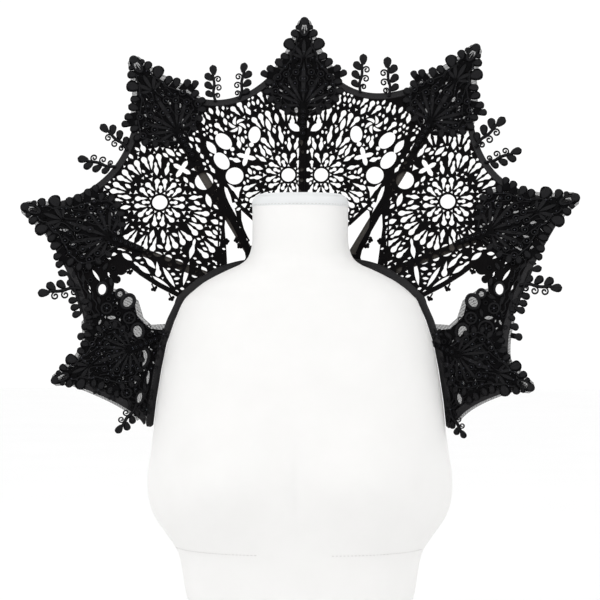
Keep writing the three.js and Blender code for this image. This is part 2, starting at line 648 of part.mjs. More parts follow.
const MAX_OPENINGS = { back: 54, side: 50, lower: 14 };
for (const [name, side] of [['left', -1], ['right', 1]]) {
  const turned = (holes) => (side < 0 ? holes : mirrored(holes));
  const back = backOutline(side);
  const backFill = [...rose(-20.5, 144.6, 0.94), ...fillRows(-70, 0, 205, 260, 16, 7),
    ...fillRows(-70, 0, 60, 250, 13, 6)];
  add(`tracery_back_${name}`, wall(back,
    keepOpenings(back, turned([...BACK_OPENINGS, ...backFill]), MAX_OPENINGS.back), CLOTH), 'tracery');
  const flank = sideOutline(side);
  const sideFill = [...rose(-177.5, 109, 1), ...fillRows(-96, -36, 215, 300, 15, 7),
    ...fillRows(-96, -36, 120, 290, 13, 6)];
  add(`tracery_side_${name}`, wall(flank,
    keepOpenings(flank, turned([...SIDE_OPENINGS, ...sideFill]), MAX_OPENINGS.side), CLOTH), 'tracery');
  const lower = lowerOutline(side);
  const lowerFill = fillRows(-134, -98, 190, 260, 11, 6.4, 30);
  add(`lace_lower_${name}`, wall(lower,
    keepOpenings(lower, turned([...LOWER_OPENINGS, ...lowerFill]), MAX_OPENINGS.lower), CLOTH), 'lace');
}

const STRAP_SPLIT = 60;
const strapParts = [
  { name: 'strap_left', from: -END_ANGLE, to: -STRAP_SPLIT - 0.15 },
  { name: 'strap_neck', from: -STRAP_SPLIT + 0.15, to: STRAP_SPLIT - 0.15 },
  { name: 'strap_right', from: STRAP_SPLIT + 0.15, to: END_ANGLE },
];
for (const part of strapParts) {
  add(part.name, wall(stripOutline(part.from, part.to, baseRadius, (a) => strapOuter(a, 0)), [], TAPE), 'satin');
}
SCALLOPS.forEach((scallop, i) => {
  const from = i === 0 ? meetsStrap(-1, rimRadius, 2) : scallop.from + 0.12;
  const to = i === SCALLOPS.length - 1 ? meetsStrap(1, rimRadius, 2) : scallop.to - 0.12;
  const turnAt = (from + to) / 2;
  const innerAt = (a) => Math.max(
    shifted(rimRadius, a, -BINDING_WIDTH, a < turnAt ? 1 : -1), strapOuter(a, SEAM));
  add(`binding_${scallop.name}`, wall(stripOutline(from, to, innerAt, rimRadius), [], TAPE), 'satin');
});
for (const spike of SPIKES) {
  add(`bone_${spike.name}`, bone(spike), 'bone');
  add(`motif_${spike.name}`, motif(spike), 'lace');
}
for (const row of SPRIGS) add(row.name, sprig(row), 'lace');

export default collar;
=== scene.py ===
# Boned lace collar on a limbless dress form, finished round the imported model.
# Lengths are millimetres here and become metres where a mesh is made.
import math
import random

import bmesh
import bpy
import numpy as np
from mathutils import Matrix, Vector
from mathutils.geometry import delaunay_2d_cdt


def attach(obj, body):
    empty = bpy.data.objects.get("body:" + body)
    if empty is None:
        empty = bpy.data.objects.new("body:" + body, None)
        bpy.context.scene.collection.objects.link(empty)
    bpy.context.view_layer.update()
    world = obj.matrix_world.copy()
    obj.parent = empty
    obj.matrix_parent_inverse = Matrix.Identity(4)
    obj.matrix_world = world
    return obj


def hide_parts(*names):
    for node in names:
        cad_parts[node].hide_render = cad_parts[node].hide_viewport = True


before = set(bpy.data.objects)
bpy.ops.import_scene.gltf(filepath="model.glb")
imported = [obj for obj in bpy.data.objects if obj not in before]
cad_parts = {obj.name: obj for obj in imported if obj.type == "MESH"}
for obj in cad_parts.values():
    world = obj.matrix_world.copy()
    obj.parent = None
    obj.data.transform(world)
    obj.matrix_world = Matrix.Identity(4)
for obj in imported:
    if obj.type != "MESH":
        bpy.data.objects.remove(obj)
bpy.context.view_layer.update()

METRES = 0.001
BODY = "root"

# The fan's centre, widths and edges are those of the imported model, whose layers lie close to these
FAN_Z = 531.0
STRAP_WIDTH = 8.0
BINDING_WIDTH = 8.0
BONE_WIDTH = 10.0
FORM_CLEARANCE = 1.6
END_ANGLE = 132.6
END_RADIUS = 248.0
LACE_PAST_RIM = 9.0
NECK_BACK_RISE = 32.0
CLOTH_HALF = 0.6
TAPE_HALF = 1.3
LACE_MIDDLE = 2.4
LACE_HALF = 0.55
LACE_FRONT = LACE_MIDDLE + LACE_HALF
BONE_MIDDLE = -3.3
NET_MIDDLE = 0.9

# The collar's curved surface: angle from straight up, base radius, base depth, lean
SURFACE = np.array([
    (0, 38, 72.5, 0.235), (20, 41, 71.5, 0.225), (37, 48, 69, 0.165), (55, 65, 62, 0.05),
    (67, 84, 51, -0.04), (75, 102, 35, -0.08), (86, 122, 15, -0.14), (97, 146, 3, -0.24),
    (111, 173, -8, -0.38), (122, 203, -14, -0.45), (134, 240, -18, -0.48), (150, 290, -20, -0.48),
])

# The spikes: angle of the lace tip, its reach, the bone's direction, the motif's size
SPIKES = {
    "lower_left": (-110.5, 309.0, -113.0, 0.84), "side_left": (-73.3, 356.6, -70.0, 1.0),
    "upper_left": (-36.8, 369.7, -32.2, 1.0), "top": (-0.5, 347.0, 0.0, 1.0),
    "upper_right": (35.1, 376.9, 31.0, 1.0), "side_right": (71.5, 352.7, 69.0, 1.0),
    "lower_right": (112.7, 298.9, 114.0, 0.84),
}
# The scallops between them: angle and radius of the lowest point
VALLEYS = {
    "end_left": (-123.5, 250.0), "lower_left": (-96.9, 260.0), "upper_left": (-56.1, 281.4),
    "top_left": (-21.4, 261.1), "top_right": (17.3, 261.5), "upper_right": (55.0, 276.3),
    "lower_right": (98.6, 253.7), "end_right": (124.0, 246.0),
}
# Sections of the dress form: height, half width, middle depth, front and back reach
FORM = np.array([
    (0, 166, 0, 104, 104), (60, 150, 0, 97, 97), (130, 131, 2, 88, 82), (175, 138, 1, 92, 84),
    (218, 146, 0, 97, 86), (238, 158, -2, 100, 87), (262, 174, -4, 105, 88), (285, 181, -6, 108, 89),
    (312, 181.5, -8, 110, 90), (340, 177.3, -9, 110, 91), (370, 173.5, -10, 108, 92),
    (400, 170.4, -8, 105, 93), (436, 165, -5, 101, 93), (466, 159.3, -2, 94, 92), (495, 150, 1, 86, 86),
    (520, 139, 4, 77, 78), (532, 126.6, 7, 73, 72), (541, 115, 8, 70, 67), (549, 100.6, 9, 67, 63.5),
    (556, 86, 9, 65, 61), (562, 72.5, 8, 62, 59), (569, 64, 8, 60, 57), (579, 59.5, 7, 58, 56),
    (592, 57.5, 6, 57, 56), (642.7, 57.5, 6, 57, 56),
], float)
SECTION_POWER = 2.2
BUST = {"x": 84.0, "z": 308.0, "rise": 38.0, "across": 60.0, "up": 56.0}


# Curves and the collar's surface
def smooth(xs, ys, at):
    """A smooth curve through a table's points, level at the first one."""
    slopes = np.zeros(len(xs))
    slopes[1:-1] = (ys[2:] - ys[:-2]) / (xs[2:] - xs[:-2])
    slopes[-1] = (ys[-1] - ys[-2]) / (xs[-1] - xs[-2])
    at = np.clip(at, xs[0], xs[-1])
    i = np.clip(np.searchsorted(xs, at, side="right") - 1, 0, len(xs) - 2)
    span = xs[i + 1] - xs[i]
    s = (at - xs[i]) / span
    return ((2 * s**3 - 3 * s**2 + 1) * ys[i] + (s**3 - 2 * s**2 + s) * slopes[i] * span
            + (3 * s**2 - 2 * s**3) * ys[i + 1] + (s**3 - s**2) * slopes[i + 1] * span)


def polar(angle, radius):
    """The place (x, w) at an angle from straight up and a distance from the fan's centre."""
    a = np.radians(angle)
    return np.stack([radius * np.sin(a), radius * np.cos(a)], axis=-1)


def angle_of(p):
    return np.degrees(np.arctan2(p[..., 0], p[..., 1]))


def angle_at(x, w):
    return float(angle_of(np.array([x, w], float)))


def unit(rows):
    return rows / np.linalg.norm(rows, axis=-1, keepdims=True)


def distances(line):
    """How far along a line each of its points lies."""
    return np.r_[0, np.cumsum(np.linalg.norm(np.diff(line, axis=0), axis=1))]


def along_line(line, steps, s):
    """The points of a line at distances s along it."""
    return np.column_stack([np.interp(s, steps, column) for column in line.T])


def depth_at(p):
    """How far back the cloth is at places (x, w)."""
    angle = np.abs(angle_of(p))
    past = np.hypot(p[:, 0], p[:, 1]) - smooth(SURFACE[:, 0], SURFACE[:, 1], angle)
    base = smooth(SURFACE[:, 0], SURFACE[:, 2], angle)
    return base + smooth(SURFACE[:, 0], SURFACE[:, 3], angle) * past


def forward_at(p):
    """The direction in front of the cloth at each place."""
    step = 1.0
    slope_x = (depth_at(p + (step, 0)) - depth_at(p - (step, 0))) / (2 * step)
    slope_w = (depth_at(p + (0, step)) - depth_at(p - (0, step))) / (2 * step)
    return unit(np.column_stack([slope_x, -np.ones(len(p)), slope_w]))


def on_cloth(p, offset=0.0):
    """The points of space a distance in front of the cloth at places (x, w) of the front view."""
    p = np.asarray(p, float).reshape(-1, 2)
    at = np.column_stack([p[:, 0], depth_at(p), FAN_Z + p[:, 1]])
    return at + forward_at(p) * np.reshape(offset, (-1, 1))


def quadratic(a, b, c, count):
    t = np.linspace(0, 1, count)[:, None]
    return (1 - t) ** 2 * a + 2 * t * (1 - t) * b + t**2 * c


# The inner edge follows the form's outline and passes behind the neck
def base_edge():
    z = np.arange(350.0, 547.1, 4.0)
    side = np.column_stack([np.interp(z, FORM[:, 0], FORM[:, 1]) + FORM_CLEARANCE, z - FAN_Z])
    corner = quadratic(side[-1], np.array([84.0, 30.0]), np.array([50.0, NECK_BACK_RISE - 0.8]), 17)
    return np.vstack([side, corner[1:], [(0.0, NECK_BACK_RISE)]])


BASE_EDGE = base_edge()[::-1]


def base_radius(angle):
    fine = np.vstack([np.linspace(a, b, 12, endpoint=False) for a, b in zip(BASE_EDGE, BASE_EDGE[1:])])
    return np.interp(np.abs(angle), angle_of(fine), np.hypot(fine[:, 0], fine[:, 1]))


def shifted(angles, radius, distance):
    """A radius curve moved by a distance outwards (+) or inwards (-)."""
    slope = np.gradient(radius, np.radians(angles)) / radius
    return radius + distance * np.sqrt(1 + np.minimum(slope**2, 4.0))


def strap_outer(angle, gap=0.0):
    grid = np.arange(-END_ANGLE - 1, END_ANGLE + 1, 0.5)
    return np.interp(angle, grid, shifted(grid, base_radius(grid), STRAP_WIDTH + gap))


# The outer edge: one curve for each scallop
def scallop_curves():
    tips = [polar(a, reach - LACE_PAST_RIM) for a, reach, _, _ in SPIKES.values()]
    stops = [polar(-END_ANGLE, END_RADIUS), *tips, polar(END_ANGLE, END_RADIUS)]
    curves = {}
    for (name, (angle, radius)), a, b in zip(VALLEYS.items(), stops, stops[1:]):
        curves[name] = quadratic(a, 2 * polar(angle, radius) - (a + b) / 2, b, 121)
    return curves


SCALLOPS = scallop_curves()
RIM = np.vstack(list(SCALLOPS.values()))
RIM_ANGLE = angle_of(RIM)
RIM_RADIUS = np.hypot(RIM[:, 0], RIM[:, 1])


def rim_radius(angle):
    return np.interp(angle, RIM_ANGLE, RIM_RADIUS)


# Meshes
def clean_object(name, points, faces, materials, indices=None, uv=None):
    """A mesh object from points in millimetres, with its place in its mesh."""
    mesh = bpy.data.meshes.new(name)
    mesh.from_pydata((np.asarray(points) * METRES).tolist(), [], [list(map(int, f)) for f in faces])
    for material in materials:
        mesh.materials.append(material)
    if indices is not None:
        mesh.polygons.foreach_set("material_index", np.asarray(indices, np.int32))
    if uv is not None:
        layer = mesh.uv_layers.new(name="UVMap")
        corners = np.zeros(len(mesh.loops), np.int32)
        mesh.loops.foreach_get("vertex_index", corners)
        layer.data.foreach_set("uv", np.asarray(uv, np.float32)[corners].ravel())
    mesh.shade_smooth()
    mesh.update()
    obj = bpy.data.objects.new(name, mesh)
    bpy.context.scene.collection.objects.link(obj)
    return obj


def tube_faces(rings, sides, start=0, flip=False):
    """The walls of a tube whose rings follow each other, and its two ends."""
    walls = []
    last = start + (rings - 1) * sides
    for low in range(start, last, sides):
        for i in range(sides):
            k = (i + 1) % sides
            walls.append((low + i, low + k, low + sides + k, low + sides + i))
    ends = [tuple(range(start, start + sides))[::-1], tuple(range(last, last + sides))]
    if flip:
        return [(a, d, c, b) for a, b, c, d in walls] + [end[::-1] for end in ends]
    return walls + ends


def closed_tube(name, rings, material, uv=None):
    """A closed piece from its rings, with every face turned outwards."""
    faces = tube_faces(len(rings), len(rings[0]), flip=True)
    obj = clean_object(name, np.vstack(rings), faces, [material], uv=uv)
    work = bmesh.new()
    work.from_mesh(obj.data)
    bmesh.ops.recalc_face_normals(work, faces=work.faces)
    work.to_mesh(obj.data)
    work.free()
    return obj


def joined(name, parts):
    """One object made of several, which keep their materials."""
    parts = [p for p in parts if p is not None]
    with bpy.context.temp_override(active_object=parts[0], selected_editable_objects=parts):
        bpy.ops.object.join()
    parts[0].name = name
    parts[0].data.name = name
    return parts[0]


# Flat drawings: cloth and openings are laid over each other, and the last one laid wins
def turned(points, x, w, turn, flip=1.0):
    c, s = math.cos(math.radians(turn)), math.sin(math.radians(turn))
    u, v = np.asarray(points, float).T
    return np.column_stack([flip * (x + u * c + v * s), w - u * s + v * c])


def disc(x, w, rx, ry=None, turn=0.0, count=20):
    t = np.arange(count) / count * 2 * math.pi
    return turned(np.column_stack([rx * np.cos(t), (ry or rx) * np.sin(t)]), x, w, turn)


def closed_disc(x, w, rx, ry=None, turn=0.0, count=32):
    """The outline of a disc as a line that ends where it starts."""
    loop = disc(x, w, rx, ry, turn, count)
    return np.vstack([loop, loop[:1]])


# Half widths of the drawn shapes, along their length from the foot to the far end
PROFILES = {
    "almond": [(-0.5, 0), (-0.38, 0.22), (-0.2, 0.43), (0, 0.5), (0.2, 0.43), (0.38, 0.22), (0.5, 0)],
    "pear": [(-0.5, 0), (-0.46, 0.2), (-0.34, 0.34), (-0.2, 0.32), (-0.08, 0.25), (0.04, 0.33),
             (0.2, 0.5), (0.36, 0.42), (0.46, 0.2), (0.5, 0)],
    "comma": [(-0.5, 0), (-0.3, 0.15), (-0.12, 0.27), (0.0, 0.24), (0.08, 0.32), (0.2, 0.48),
              (0.32, 0.49), (0.44, 0.3), (0.5, 0)],
    "light": [(-0.5, 0), (-0.4, 0.2), (-0.2, 0.46), (-0.06, 0.47), (0.1, 0.28), (0.18, 0.2),
              (0.28, 0.27), (0.4, 0.24), (0.5, 0)],
    "band": [(-0.5, 0.5), (0.5, 0.5)],
    "drop": [(-0.5, 0), (-0.44, 0.2), (-0.25, 0.36), (0.0, 0.48), (0.2, 0.5), (0.36, 0.4),
             (0.46, 0.2), (0.5, 0)],
}


def shape(kind, x, w, length, width, turn):
    """A symmetrical shape by half widths along its length; its far end points along turn."""
    rows = PROFILES[kind]
    right = [(h * width, v * length) for v, h in rows]
    left = [(-h * width, v * length) for v, h in reversed(rows) if h > 0]
    return turned(right + left, x, w, turn)


# One petal of a quatrefoil: angle from its tip and reach, as a share
PETAL = np.array([(0, 1.0), (8, 0.9), (18, 0.73), (27, 0.52), (45, 0.31), (63, 0.52), (72, 0.73), (82, 0.9)])


def quatrefoil(x, w, radius, turn=0.0):
    """Four pointed petals."""
    angles = np.concatenate([PETAL[:, 0] + 90 * k for k in range(4)])
    return turned(polar(angles, radius * np.tile(PETAL[:, 1], 4)), x, w, turn)


def hollow_triangle(x, w, radius, turn=0.0):
    t = np.arange(6) / 6 * 2 * math.pi
    reach = np.where(np.arange(6) % 2 == 0, radius, radius * 0.42)
    return turned(np.column_stack([reach * np.sin(t), reach * np.cos(t)]), x, w, turn)


def swirl(x, w, radius, blades=6):
    """Curved lights that turn round a centre."""
    out = []
    for i in range(blades):
        s = np.linspace(0, 1, 7)
        along = np.radians(i * 360 / blades) + 0.9 * s
        reach = radius * (0.16 + 0.8 * s)
        half = radius * 0.2 * np.sin(np.pi * s) ** 0.8
        middle = np.column_stack([reach * np.sin(along), reach * np.cos(along)])
        side = np.column_stack([np.cos(along), -np.sin(along)])
        loop = np.vstack([middle + side * half[:, None], (middle - side * half[:, None])[-2:0:-1]])
        out.append(turned(loop, x, w, 0))
    return out


def strip(points, width):
    """A bar of even width along a line of places."""
    line = np.asarray(points, float)
    along = unit(np.gradient(line, axis=0))
    side = np.column_stack([along[:, 1], -along[:, 0]]) * width / 2
    return np.vstack([line + side, (line - side)[::-1]])


def curve_through(points, per_span=8):
    """A smooth line through a few places."""
    p = np.asarray(points, float)
    padded = np.vstack([2 * p[0] - p[1], p, 2 * p[-1] - p[-2]])
    out = []
    for i in range(1, len(padded) - 2):
        t = np.linspace(0, 1, per_span, endpoint=False)[:, None]
        a, b, c, d = padded[i - 1:i + 3]
        out.append(0.5 * (2 * b + (c - a) * t + (2 * a - 5 * b + 4 * c - d) * t**2
                          + (3 * b - a - 3 * c + d) * t**3))
    return np.vstack([*out, p[-1:]])


LARGEST_OPENING = 40.0
# The cloth's own points: longest edge of a drawn line, and the shift of the grid between the lines
LONGEST_EDGE = 9.0
GRID_SHIFT = (0.37, 0.21)
CREASE = math.radians(45)


def wound(loop):
    """The same loop, anticlockwise."""
    x, w = loop[:, 0], loop[:, 1]
    area = np.sum(x * np.roll(w, -1) - w * np.roll(x, -1))
    return loop if area > 0 else loop[::-1]


def inside(points, loop):
    x, w = np.atleast_2d(points).T[:, :, None]
    (ax, aw), (bx, bw) = loop.T, np.roll(loop, -1, axis=0).T
    run = np.where(bw == aw, 1.0, bw - aw)
    crosses = ((aw > w) != (bw > w)) & (x < (bx - ax) * (w - aw) / run + ax)
    return crosses.sum(1) % 2 == 1


def dense(loop, step=2.0):
    out = []
    for a, b in zip(loop, np.roll(loop, -1, axis=0)):
        parts = max(1, int(np.ceil(np.linalg.norm(b - a) / step)))
        out.append(a + (b - a) * (np.arange(parts) / parts)[:, None])
    return np.vstack(out)


def nearest(a, b):
    return np.sqrt(((a[:, None, :] - b[None, :, :]) ** 2).sum(-1).min())


def kept(outline, wanted, bar=1.2, already=()):
    """The openings that leave a bar round them, in the order in which they are listed."""
    taken = [dense(h) for h in already]
    points = np.vstack([dense(outline), *taken])
    middles = [h.mean(0) for h in taken]
    fresh = []
    for hole in wanted:
        full = dense(hole)
        middle = full.mean(0)
        reach = np.abs(full - middle).max()
        near = points[np.abs(points - middle).max(1) < reach + bar]
        if len(near) and nearest(full, near) < bar:
            continue
        if not inside(middle, outline)[0]:
            continue
        around = [(t, m) for t, m in zip(taken, middles) if np.abs(m - middle).max() < LARGEST_OPENING]
        if any(inside(middle, t)[0] or inside(m, full)[0] for t, m in around):
            continue
        points = np.vstack([points, full])
        taken.append(full)
        middles.append(middle)
        fresh.append(hole)
    return fresh


def cloth(loops):
    return [(True, loop) for loop in loops]


def openings(loops):
    return [(False, loop) for loop in loops]


def on_side(laid, side):
    """A drawing that was laid out on the left, for a side."""
    return [(kind, loop * (-side, 1.0)) for kind, loop in laid]


def drawn(name, laid, middle_offset, half, materials, spacing=7.0):
    """A wall on the collar's surface from a drawing: a list of (is cloth, loop)."""
    loops = [wound(dense(loop, LONGEST_EDGE)) for _, loop in laid]
    points = np.vstack(loops)
    starts = np.cumsum([0] + [len(loop) for loop in loops])
    faces = [list(range(a, b)) for a, b in zip(starts, starts[1:])]
    low, high = points.min(0), points.max(0)
    xs, ws = np.meshgrid(np.arange(low[0], high[0], spacing), np.arange(low[1], high[1], spacing))
    grid = np.column_stack([xs.ravel(), ws.ravel()]) + GRID_SHIFT
    coords = [Vector(p) for p in np.vstack([points, grid]).tolist()]
    flat, _, triangles, _, _, owners = delaunay_2d_cdt(coords, [], faces, 0, 1e-4, True)
    is_cloth = [kind for kind, _ in laid]
    keep = [t for t, own in zip(triangles, owners) if own and is_cloth[max(own)]]
    used, tri = np.unique(np.array(keep), return_inverse=True)
    tri = tri.reshape(-1, 3)
    flat = np.array([tuple(p) for p in flat])[used]
    a, b, c = (flat[tri[:, i]] for i in range(3))
    turned_over = (b[:, 0] - a[:, 0]) * (c[:, 1] - a[:, 1]) < (b[:, 1] - a[:, 1]) * (c[:, 0] - a[:, 0])
    tri[turned_over] = tri[turned_over][:, ::-1]
    edges = np.vstack([tri[:, [0, 1]], tri[:, [1, 2]], tri[:, [2, 0]]])
    count = len(flat)
    key = edges[:, 0].astype(np.int64) * count + edges[:, 1]
    other = edges[:, 1].astype(np.int64) * count + edges[:, 0]
    rim = edges[~np.isin(key, other)]
    sides = np.column_stack([rim[:, 0], rim[:, 0] + count, rim[:, 1] + count, rim[:, 1]])
    faces = [*tri, *(tri[:, ::-1] + count), *sides]
    front = on_cloth(flat, middle_offset + half)
    back = on_cloth(flat, middle_offset - half)
    indices = np.repeat([0, len(materials) - 1], [2 * len(tri), len(sides)])
    obj = clean_object(name, np.vstack([front, back]), faces, materials, indices)
    obj.data.set_sharp_from_angle(angle=CREASE)
    middle = (front + back) / 2
    cross = np.cross(middle[tri[:, 1]] - middle[tri[:, 0]], middle[tri[:, 2]] - middle[tri[:, 0]])
    obj["cloth_area"] = float(np.linalg.norm(cross, axis=1).sum() / 2 * METRES**2)
    return obj


# What every piece gets: its body, with the node it stands for hidden
def settle(obj, slot, *nodes):
    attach(obj, BODY)
    if nodes:
        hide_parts(*nodes)
    return obj


def declare_cut(obj):
    """A piece of cloth: its points, read and centred on their middle, and not used further."""
    co = np.zeros(len(obj.data.vertices) * 3, np.float32)
    obj.data.vertices.foreach_get("co", co)
    co = co.reshape(-1, 3) - co.reshape(-1, 3).mean(0)


def settle_tape(tape, seams, slot, stands_for):
    """A sewn tape and its stitches, on the body, with the node the tape stands for hidden."""
    settle(tape, slot, stands_for)
    settle(seams, slot)


# Node groups: those of the finishes, and the one that lays the trims
def group_with(name, inputs, outputs, kind_of_tree="ShaderNodeTree"):
    tree = bpy.data.node_groups.new(name, kind_of_tree)
    for label, kind, value in inputs:
        socket = tree.interface.new_socket(label, in_out="INPUT", socket_type=kind)
        if value is not None:
            socket.default_value = value
    for label, kind in outputs:
        tree.interface.new_socket(label, in_out="OUTPUT", socket_type=kind)
    return tree, tree.nodes.new("NodeGroupInput"), tree.nodes.new("NodeGroupOutput")


def node(tree, kind, links=None, **values):
    made = tree.nodes.new(kind)
    for key, value in values.items():
        setattr(made, key, value)
    for socket, source in (links or {}).items():
        if isinstance(source, bpy.types.NodeSocket):
            tree.links.new(source, made.inputs[socket])
        else:
            made.inputs[socket].default_value = source
    return made


def math_node(tree, operation, a, b=0.0, c=0.0):
    return node(tree, "ShaderNodeMath", {0: a, 1: b, 2: c}, operation=operation).outputs[0]


def make_weave():
    """Crossed threads and cloud-like unevenness: a height and a tint between 0 and 1."""
    tree, given, result = group_with("cloth_weave", [
        ("Vector", "NodeSocketVector", None), ("Threads", "NodeSocketFloat", 900.0),
        ("Unevenness", "NodeSocketFloat", 30.0)],
        [("Height", "NodeSocketFloat"), ("Tint", "NodeSocketFloat")])
    waves = []
    for direction in ("X", "Z"):
        wave = node(tree, "ShaderNodeTexWave", {
            "Vector": given.outputs["Vector"], "Scale": given.outputs["Threads"], "Distortion": 0.6},
            wave_type="BANDS", bands_direction=direction)
        waves.append(wave.outputs["Fac"])
    crossed = math_node(tree, "MULTIPLY", waves[0], waves[1])
    cloud = node(tree, "ShaderNodeTexNoise", {
        "Vector": given.outputs["Vector"], "Scale": given.outputs["Unevenness"], "Detail": 4.0})
    tree.links.new(crossed, result.inputs["Height"])
    tree.links.new(cloud.outputs["Fac"], result.inputs["Tint"])
    return tree


def make_thread():
    """Slanting satin stitches along a piece's own UV map, with loose fibres."""
    tree, given, result = group_with("satin_stitch", [
        ("UV", "NodeSocketVector", None), ("Vector", "NodeSocketVector", None),
        ("Stitches", "NodeSocketFloat", 1.0), ("Slant", "NodeSocketFloat", 3.0)],
        [("Height", "NodeSocketFloat"), ("Tint", "NodeSocketFloat")])
    parts = node(tree, "ShaderNodeSeparateXYZ", {0: given.outputs["UV"]})
    side = math_node(tree, "ABSOLUTE", math_node(tree, "SUBTRACT", parts.outputs[0], 0.5))
    slant = math_node(tree, "MULTIPLY", side, given.outputs["Slant"])
    run = math_node(tree, "MULTIPLY_ADD", parts.outputs[1], given.outputs["Stitches"], slant)
    ridge = math_node(tree, "SINE", math_node(tree, "MULTIPLY", run, 2 * math.pi))
    fibre = node(tree, "ShaderNodeTexNoise", {
        "Vector": given.outputs["Vector"], "Scale": 1400.0, "Detail": 2.0})
    height = math_node(tree, "MULTIPLY_ADD", ridge, 0.5, fibre.outputs["Fac"])
    tree.links.new(height, result.inputs["Height"])
    tree.links.new(fibre.outputs["Fac"], result.inputs["Tint"])
    return tree


WEAVE = make_weave()
THREAD = make_thread()
SHEEN_ROUGHNESS = 0.4


def finish(name, dark, light, roughness, bump, threads=None, uneven=60.0, stitches=None, sheen=0.0,
           specular=0.5):
    """A cloth or thread finish: two tints mixed by a shared group, with its relief as bump."""
    material = bpy.data.materials.new(name)
    material.use_nodes = True
    tree = material.node_tree
    shader = tree.nodes["Principled BSDF"]
    place = node(tree, "ShaderNodeTexCoord")
    if stitches:
        relief = node(tree, "ShaderNodeGroup", node_tree=THREAD)
        tree.links.new(place.outputs["UV"], relief.inputs["UV"])
        relief.inputs["Stitches"].default_value = stitches
    else:
        relief = node(tree, "ShaderNodeGroup", node_tree=WEAVE)
        relief.inputs["Threads"].default_value = threads
        relief.inputs["Unevenness"].default_value = uneven
    tree.links.new(place.outputs["Object"], relief.inputs["Vector"])
    tint = node(tree, "ShaderNodeMix", data_type="RGBA")
    tint.inputs[6].default_value = (*dark, 1)
    tint.inputs[7].default_value = (*light, 1)
    tree.links.new(relief.outputs["Tint"], tint.inputs[0])
    tree.links.new(tint.outputs[2], shader.inputs["Base Color"])
    raised = node(tree, "ShaderNodeBump", {
        "Height": relief.outputs["Height"], "Strength": 1.0, "Distance": bump})
    tree.links.new(raised.outputs["Normal"], shader.inputs["Normal"])
    for label, value in (("Roughness", roughness), ("Specular IOR Level", specular),
                         ("Sheen Weight", sheen), ("Sheen Roughness", SHEEN_ROUGHNESS)):
        shader.inputs[label].default_value = value
    return material


def net_finish(name, colour, mesh_size, thread, film):
    """Fine net: threads round many-sided gaps, and only a film of hair-thin yarn between them."""
    material = finish(name, colour, colour, 0.7, 0.00004, threads=2500.0, specular=0.1)
    tree = material.node_tree
    place = node(tree, "ShaderNodeTexCoord")
    cells = node(tree, "ShaderNodeTexVoronoi", {"Scale": 1.0 / mesh_size, "Randomness": 0.35},
                 feature="DISTANCE_TO_EDGE")
    tree.links.new(place.outputs["Object"], cells.inputs["Vector"])
    mask = math_node(tree, "LESS_THAN", cells.outputs["Distance"], thread)
    cover = math_node(tree, "MULTIPLY_ADD", mask, 1 - film, film)
    tree.links.new(cover, tree.nodes["Principled BSDF"].inputs["Alpha"])
    return material


# Each finish: dark and light tint, roughness, relief in metres, threads and clouds a metre
JERSEY = finish("jersey_cover", (0.87, 0.864, 0.852), (0.91, 0.905, 0.895), 0.85, 0.00012, 1500.0, 25.0,
                sheen=0.1)
CAP_CLOTH = finish("neck_cap_cloth", (0.77, 0.785, 0.79), (0.83, 0.845, 0.85), 0.8, 0.00016, 900.0, 40.0,
                   sheen=0.1)
FORM_THREAD = finish("form_seam_thread", (0.55, 0.54, 0.53), (0.68, 0.67, 0.66), 0.7, 0.00005, 2000.0)
TRACERY = finish("tracery_cloth", (0.002, 0.0018, 0.002), (0.0052, 0.0046, 0.005), 0.8, 0.00010, 1100.0, 70.0,
                 specular=0.04)
CUT_EDGE = finish("scorched_edge", (0.01, 0.0075, 0.0065), (0.03, 0.021, 0.017), 0.7, 0.00005, 1800.0, 90.0,
                  specular=0.1)
GROUND = finish("lace_ground", (0.0016, 0.0016, 0.0018), (0.0055, 0.0053, 0.006), 0.75, 0.0003, 650.0, 160.0,
                specular=0.04)
LACE_THREAD = finish("lace_thread", (0.0025, 0.0025, 0.003), (0.01, 0.0097, 0.0112), 0.42, 0.00022,
                     stitches=1.0,
                     specular=0.11)
CORD_THREAD = finish("lace_cord_thread", (0.0022, 0.0022, 0.0027), (0.0085, 0.0083, 0.0097), 0.4, 0.00014,
                     stitches=1.0, specular=0.1)
SATIN = finish("satin_tape", (0.0042, 0.0039, 0.0046), (0.0105, 0.0098, 0.0112), 0.34, 0.00006, 1600.0, 24.0,
               specular=0.2)
TAPE_THREAD = finish("tape_stitching", (0.012, 0.012, 0.013), (0.04, 0.038, 0.042), 0.4, 0.00006, 2200.0,
                     specular=0.3)
CASING = finish("sheer_casing", (0.04, 0.0355, 0.031), (0.078, 0.069, 0.06), 0.45, 0.00012, 1300.0, 50.0,
                specular=0.25)
# Black beads: the dark green and dark purple tints mixed into their colour are painted iridescent glints
BEAD_WITH_PAINTED_GLINTS = finish("jet_bead_painted_glints", (0.003, 0.012, 0.009), (0.016, 0.009, 0.024), 0.2, 0.00002, 300.0, 200.0,
              specular=0.45)
NET = net_finish("fine_net", (0.02, 0.0195, 0.02), 0.0011, 0.045, 0.33)


# Trims that Geometry Nodes repeat: each is one millimetre in size
def leaf_trim():
    """A raised leaf with a sunk midrib and a flat underside."""
    across, along = 7, 9
    points, uv = [], []
    for j in range(along):
        s = j / (along - 1)
        width = 0.5 * max(math.sin(math.pi * (0.04 + 0.92 * s)) ** 0.8 * (0.82 + 0.3 * s), 0.05)
        rise = math.sin(math.pi * (0.06 + 0.88 * s)) ** 0.6
        for i in range(across):
            u = 2 * i / (across - 1) - 1
            height = rise * (max(1 - u * u, 0) ** 0.5 - 0.42 * math.exp(-((u / 0.2) ** 2)))
            points.append((u * width, s - 0.5, max(height, 0)))
            uv.append((i / (across - 1), s * 9))
    return clean_object("trim_leaf", points, tube_faces(along, across), [], uv=uv)


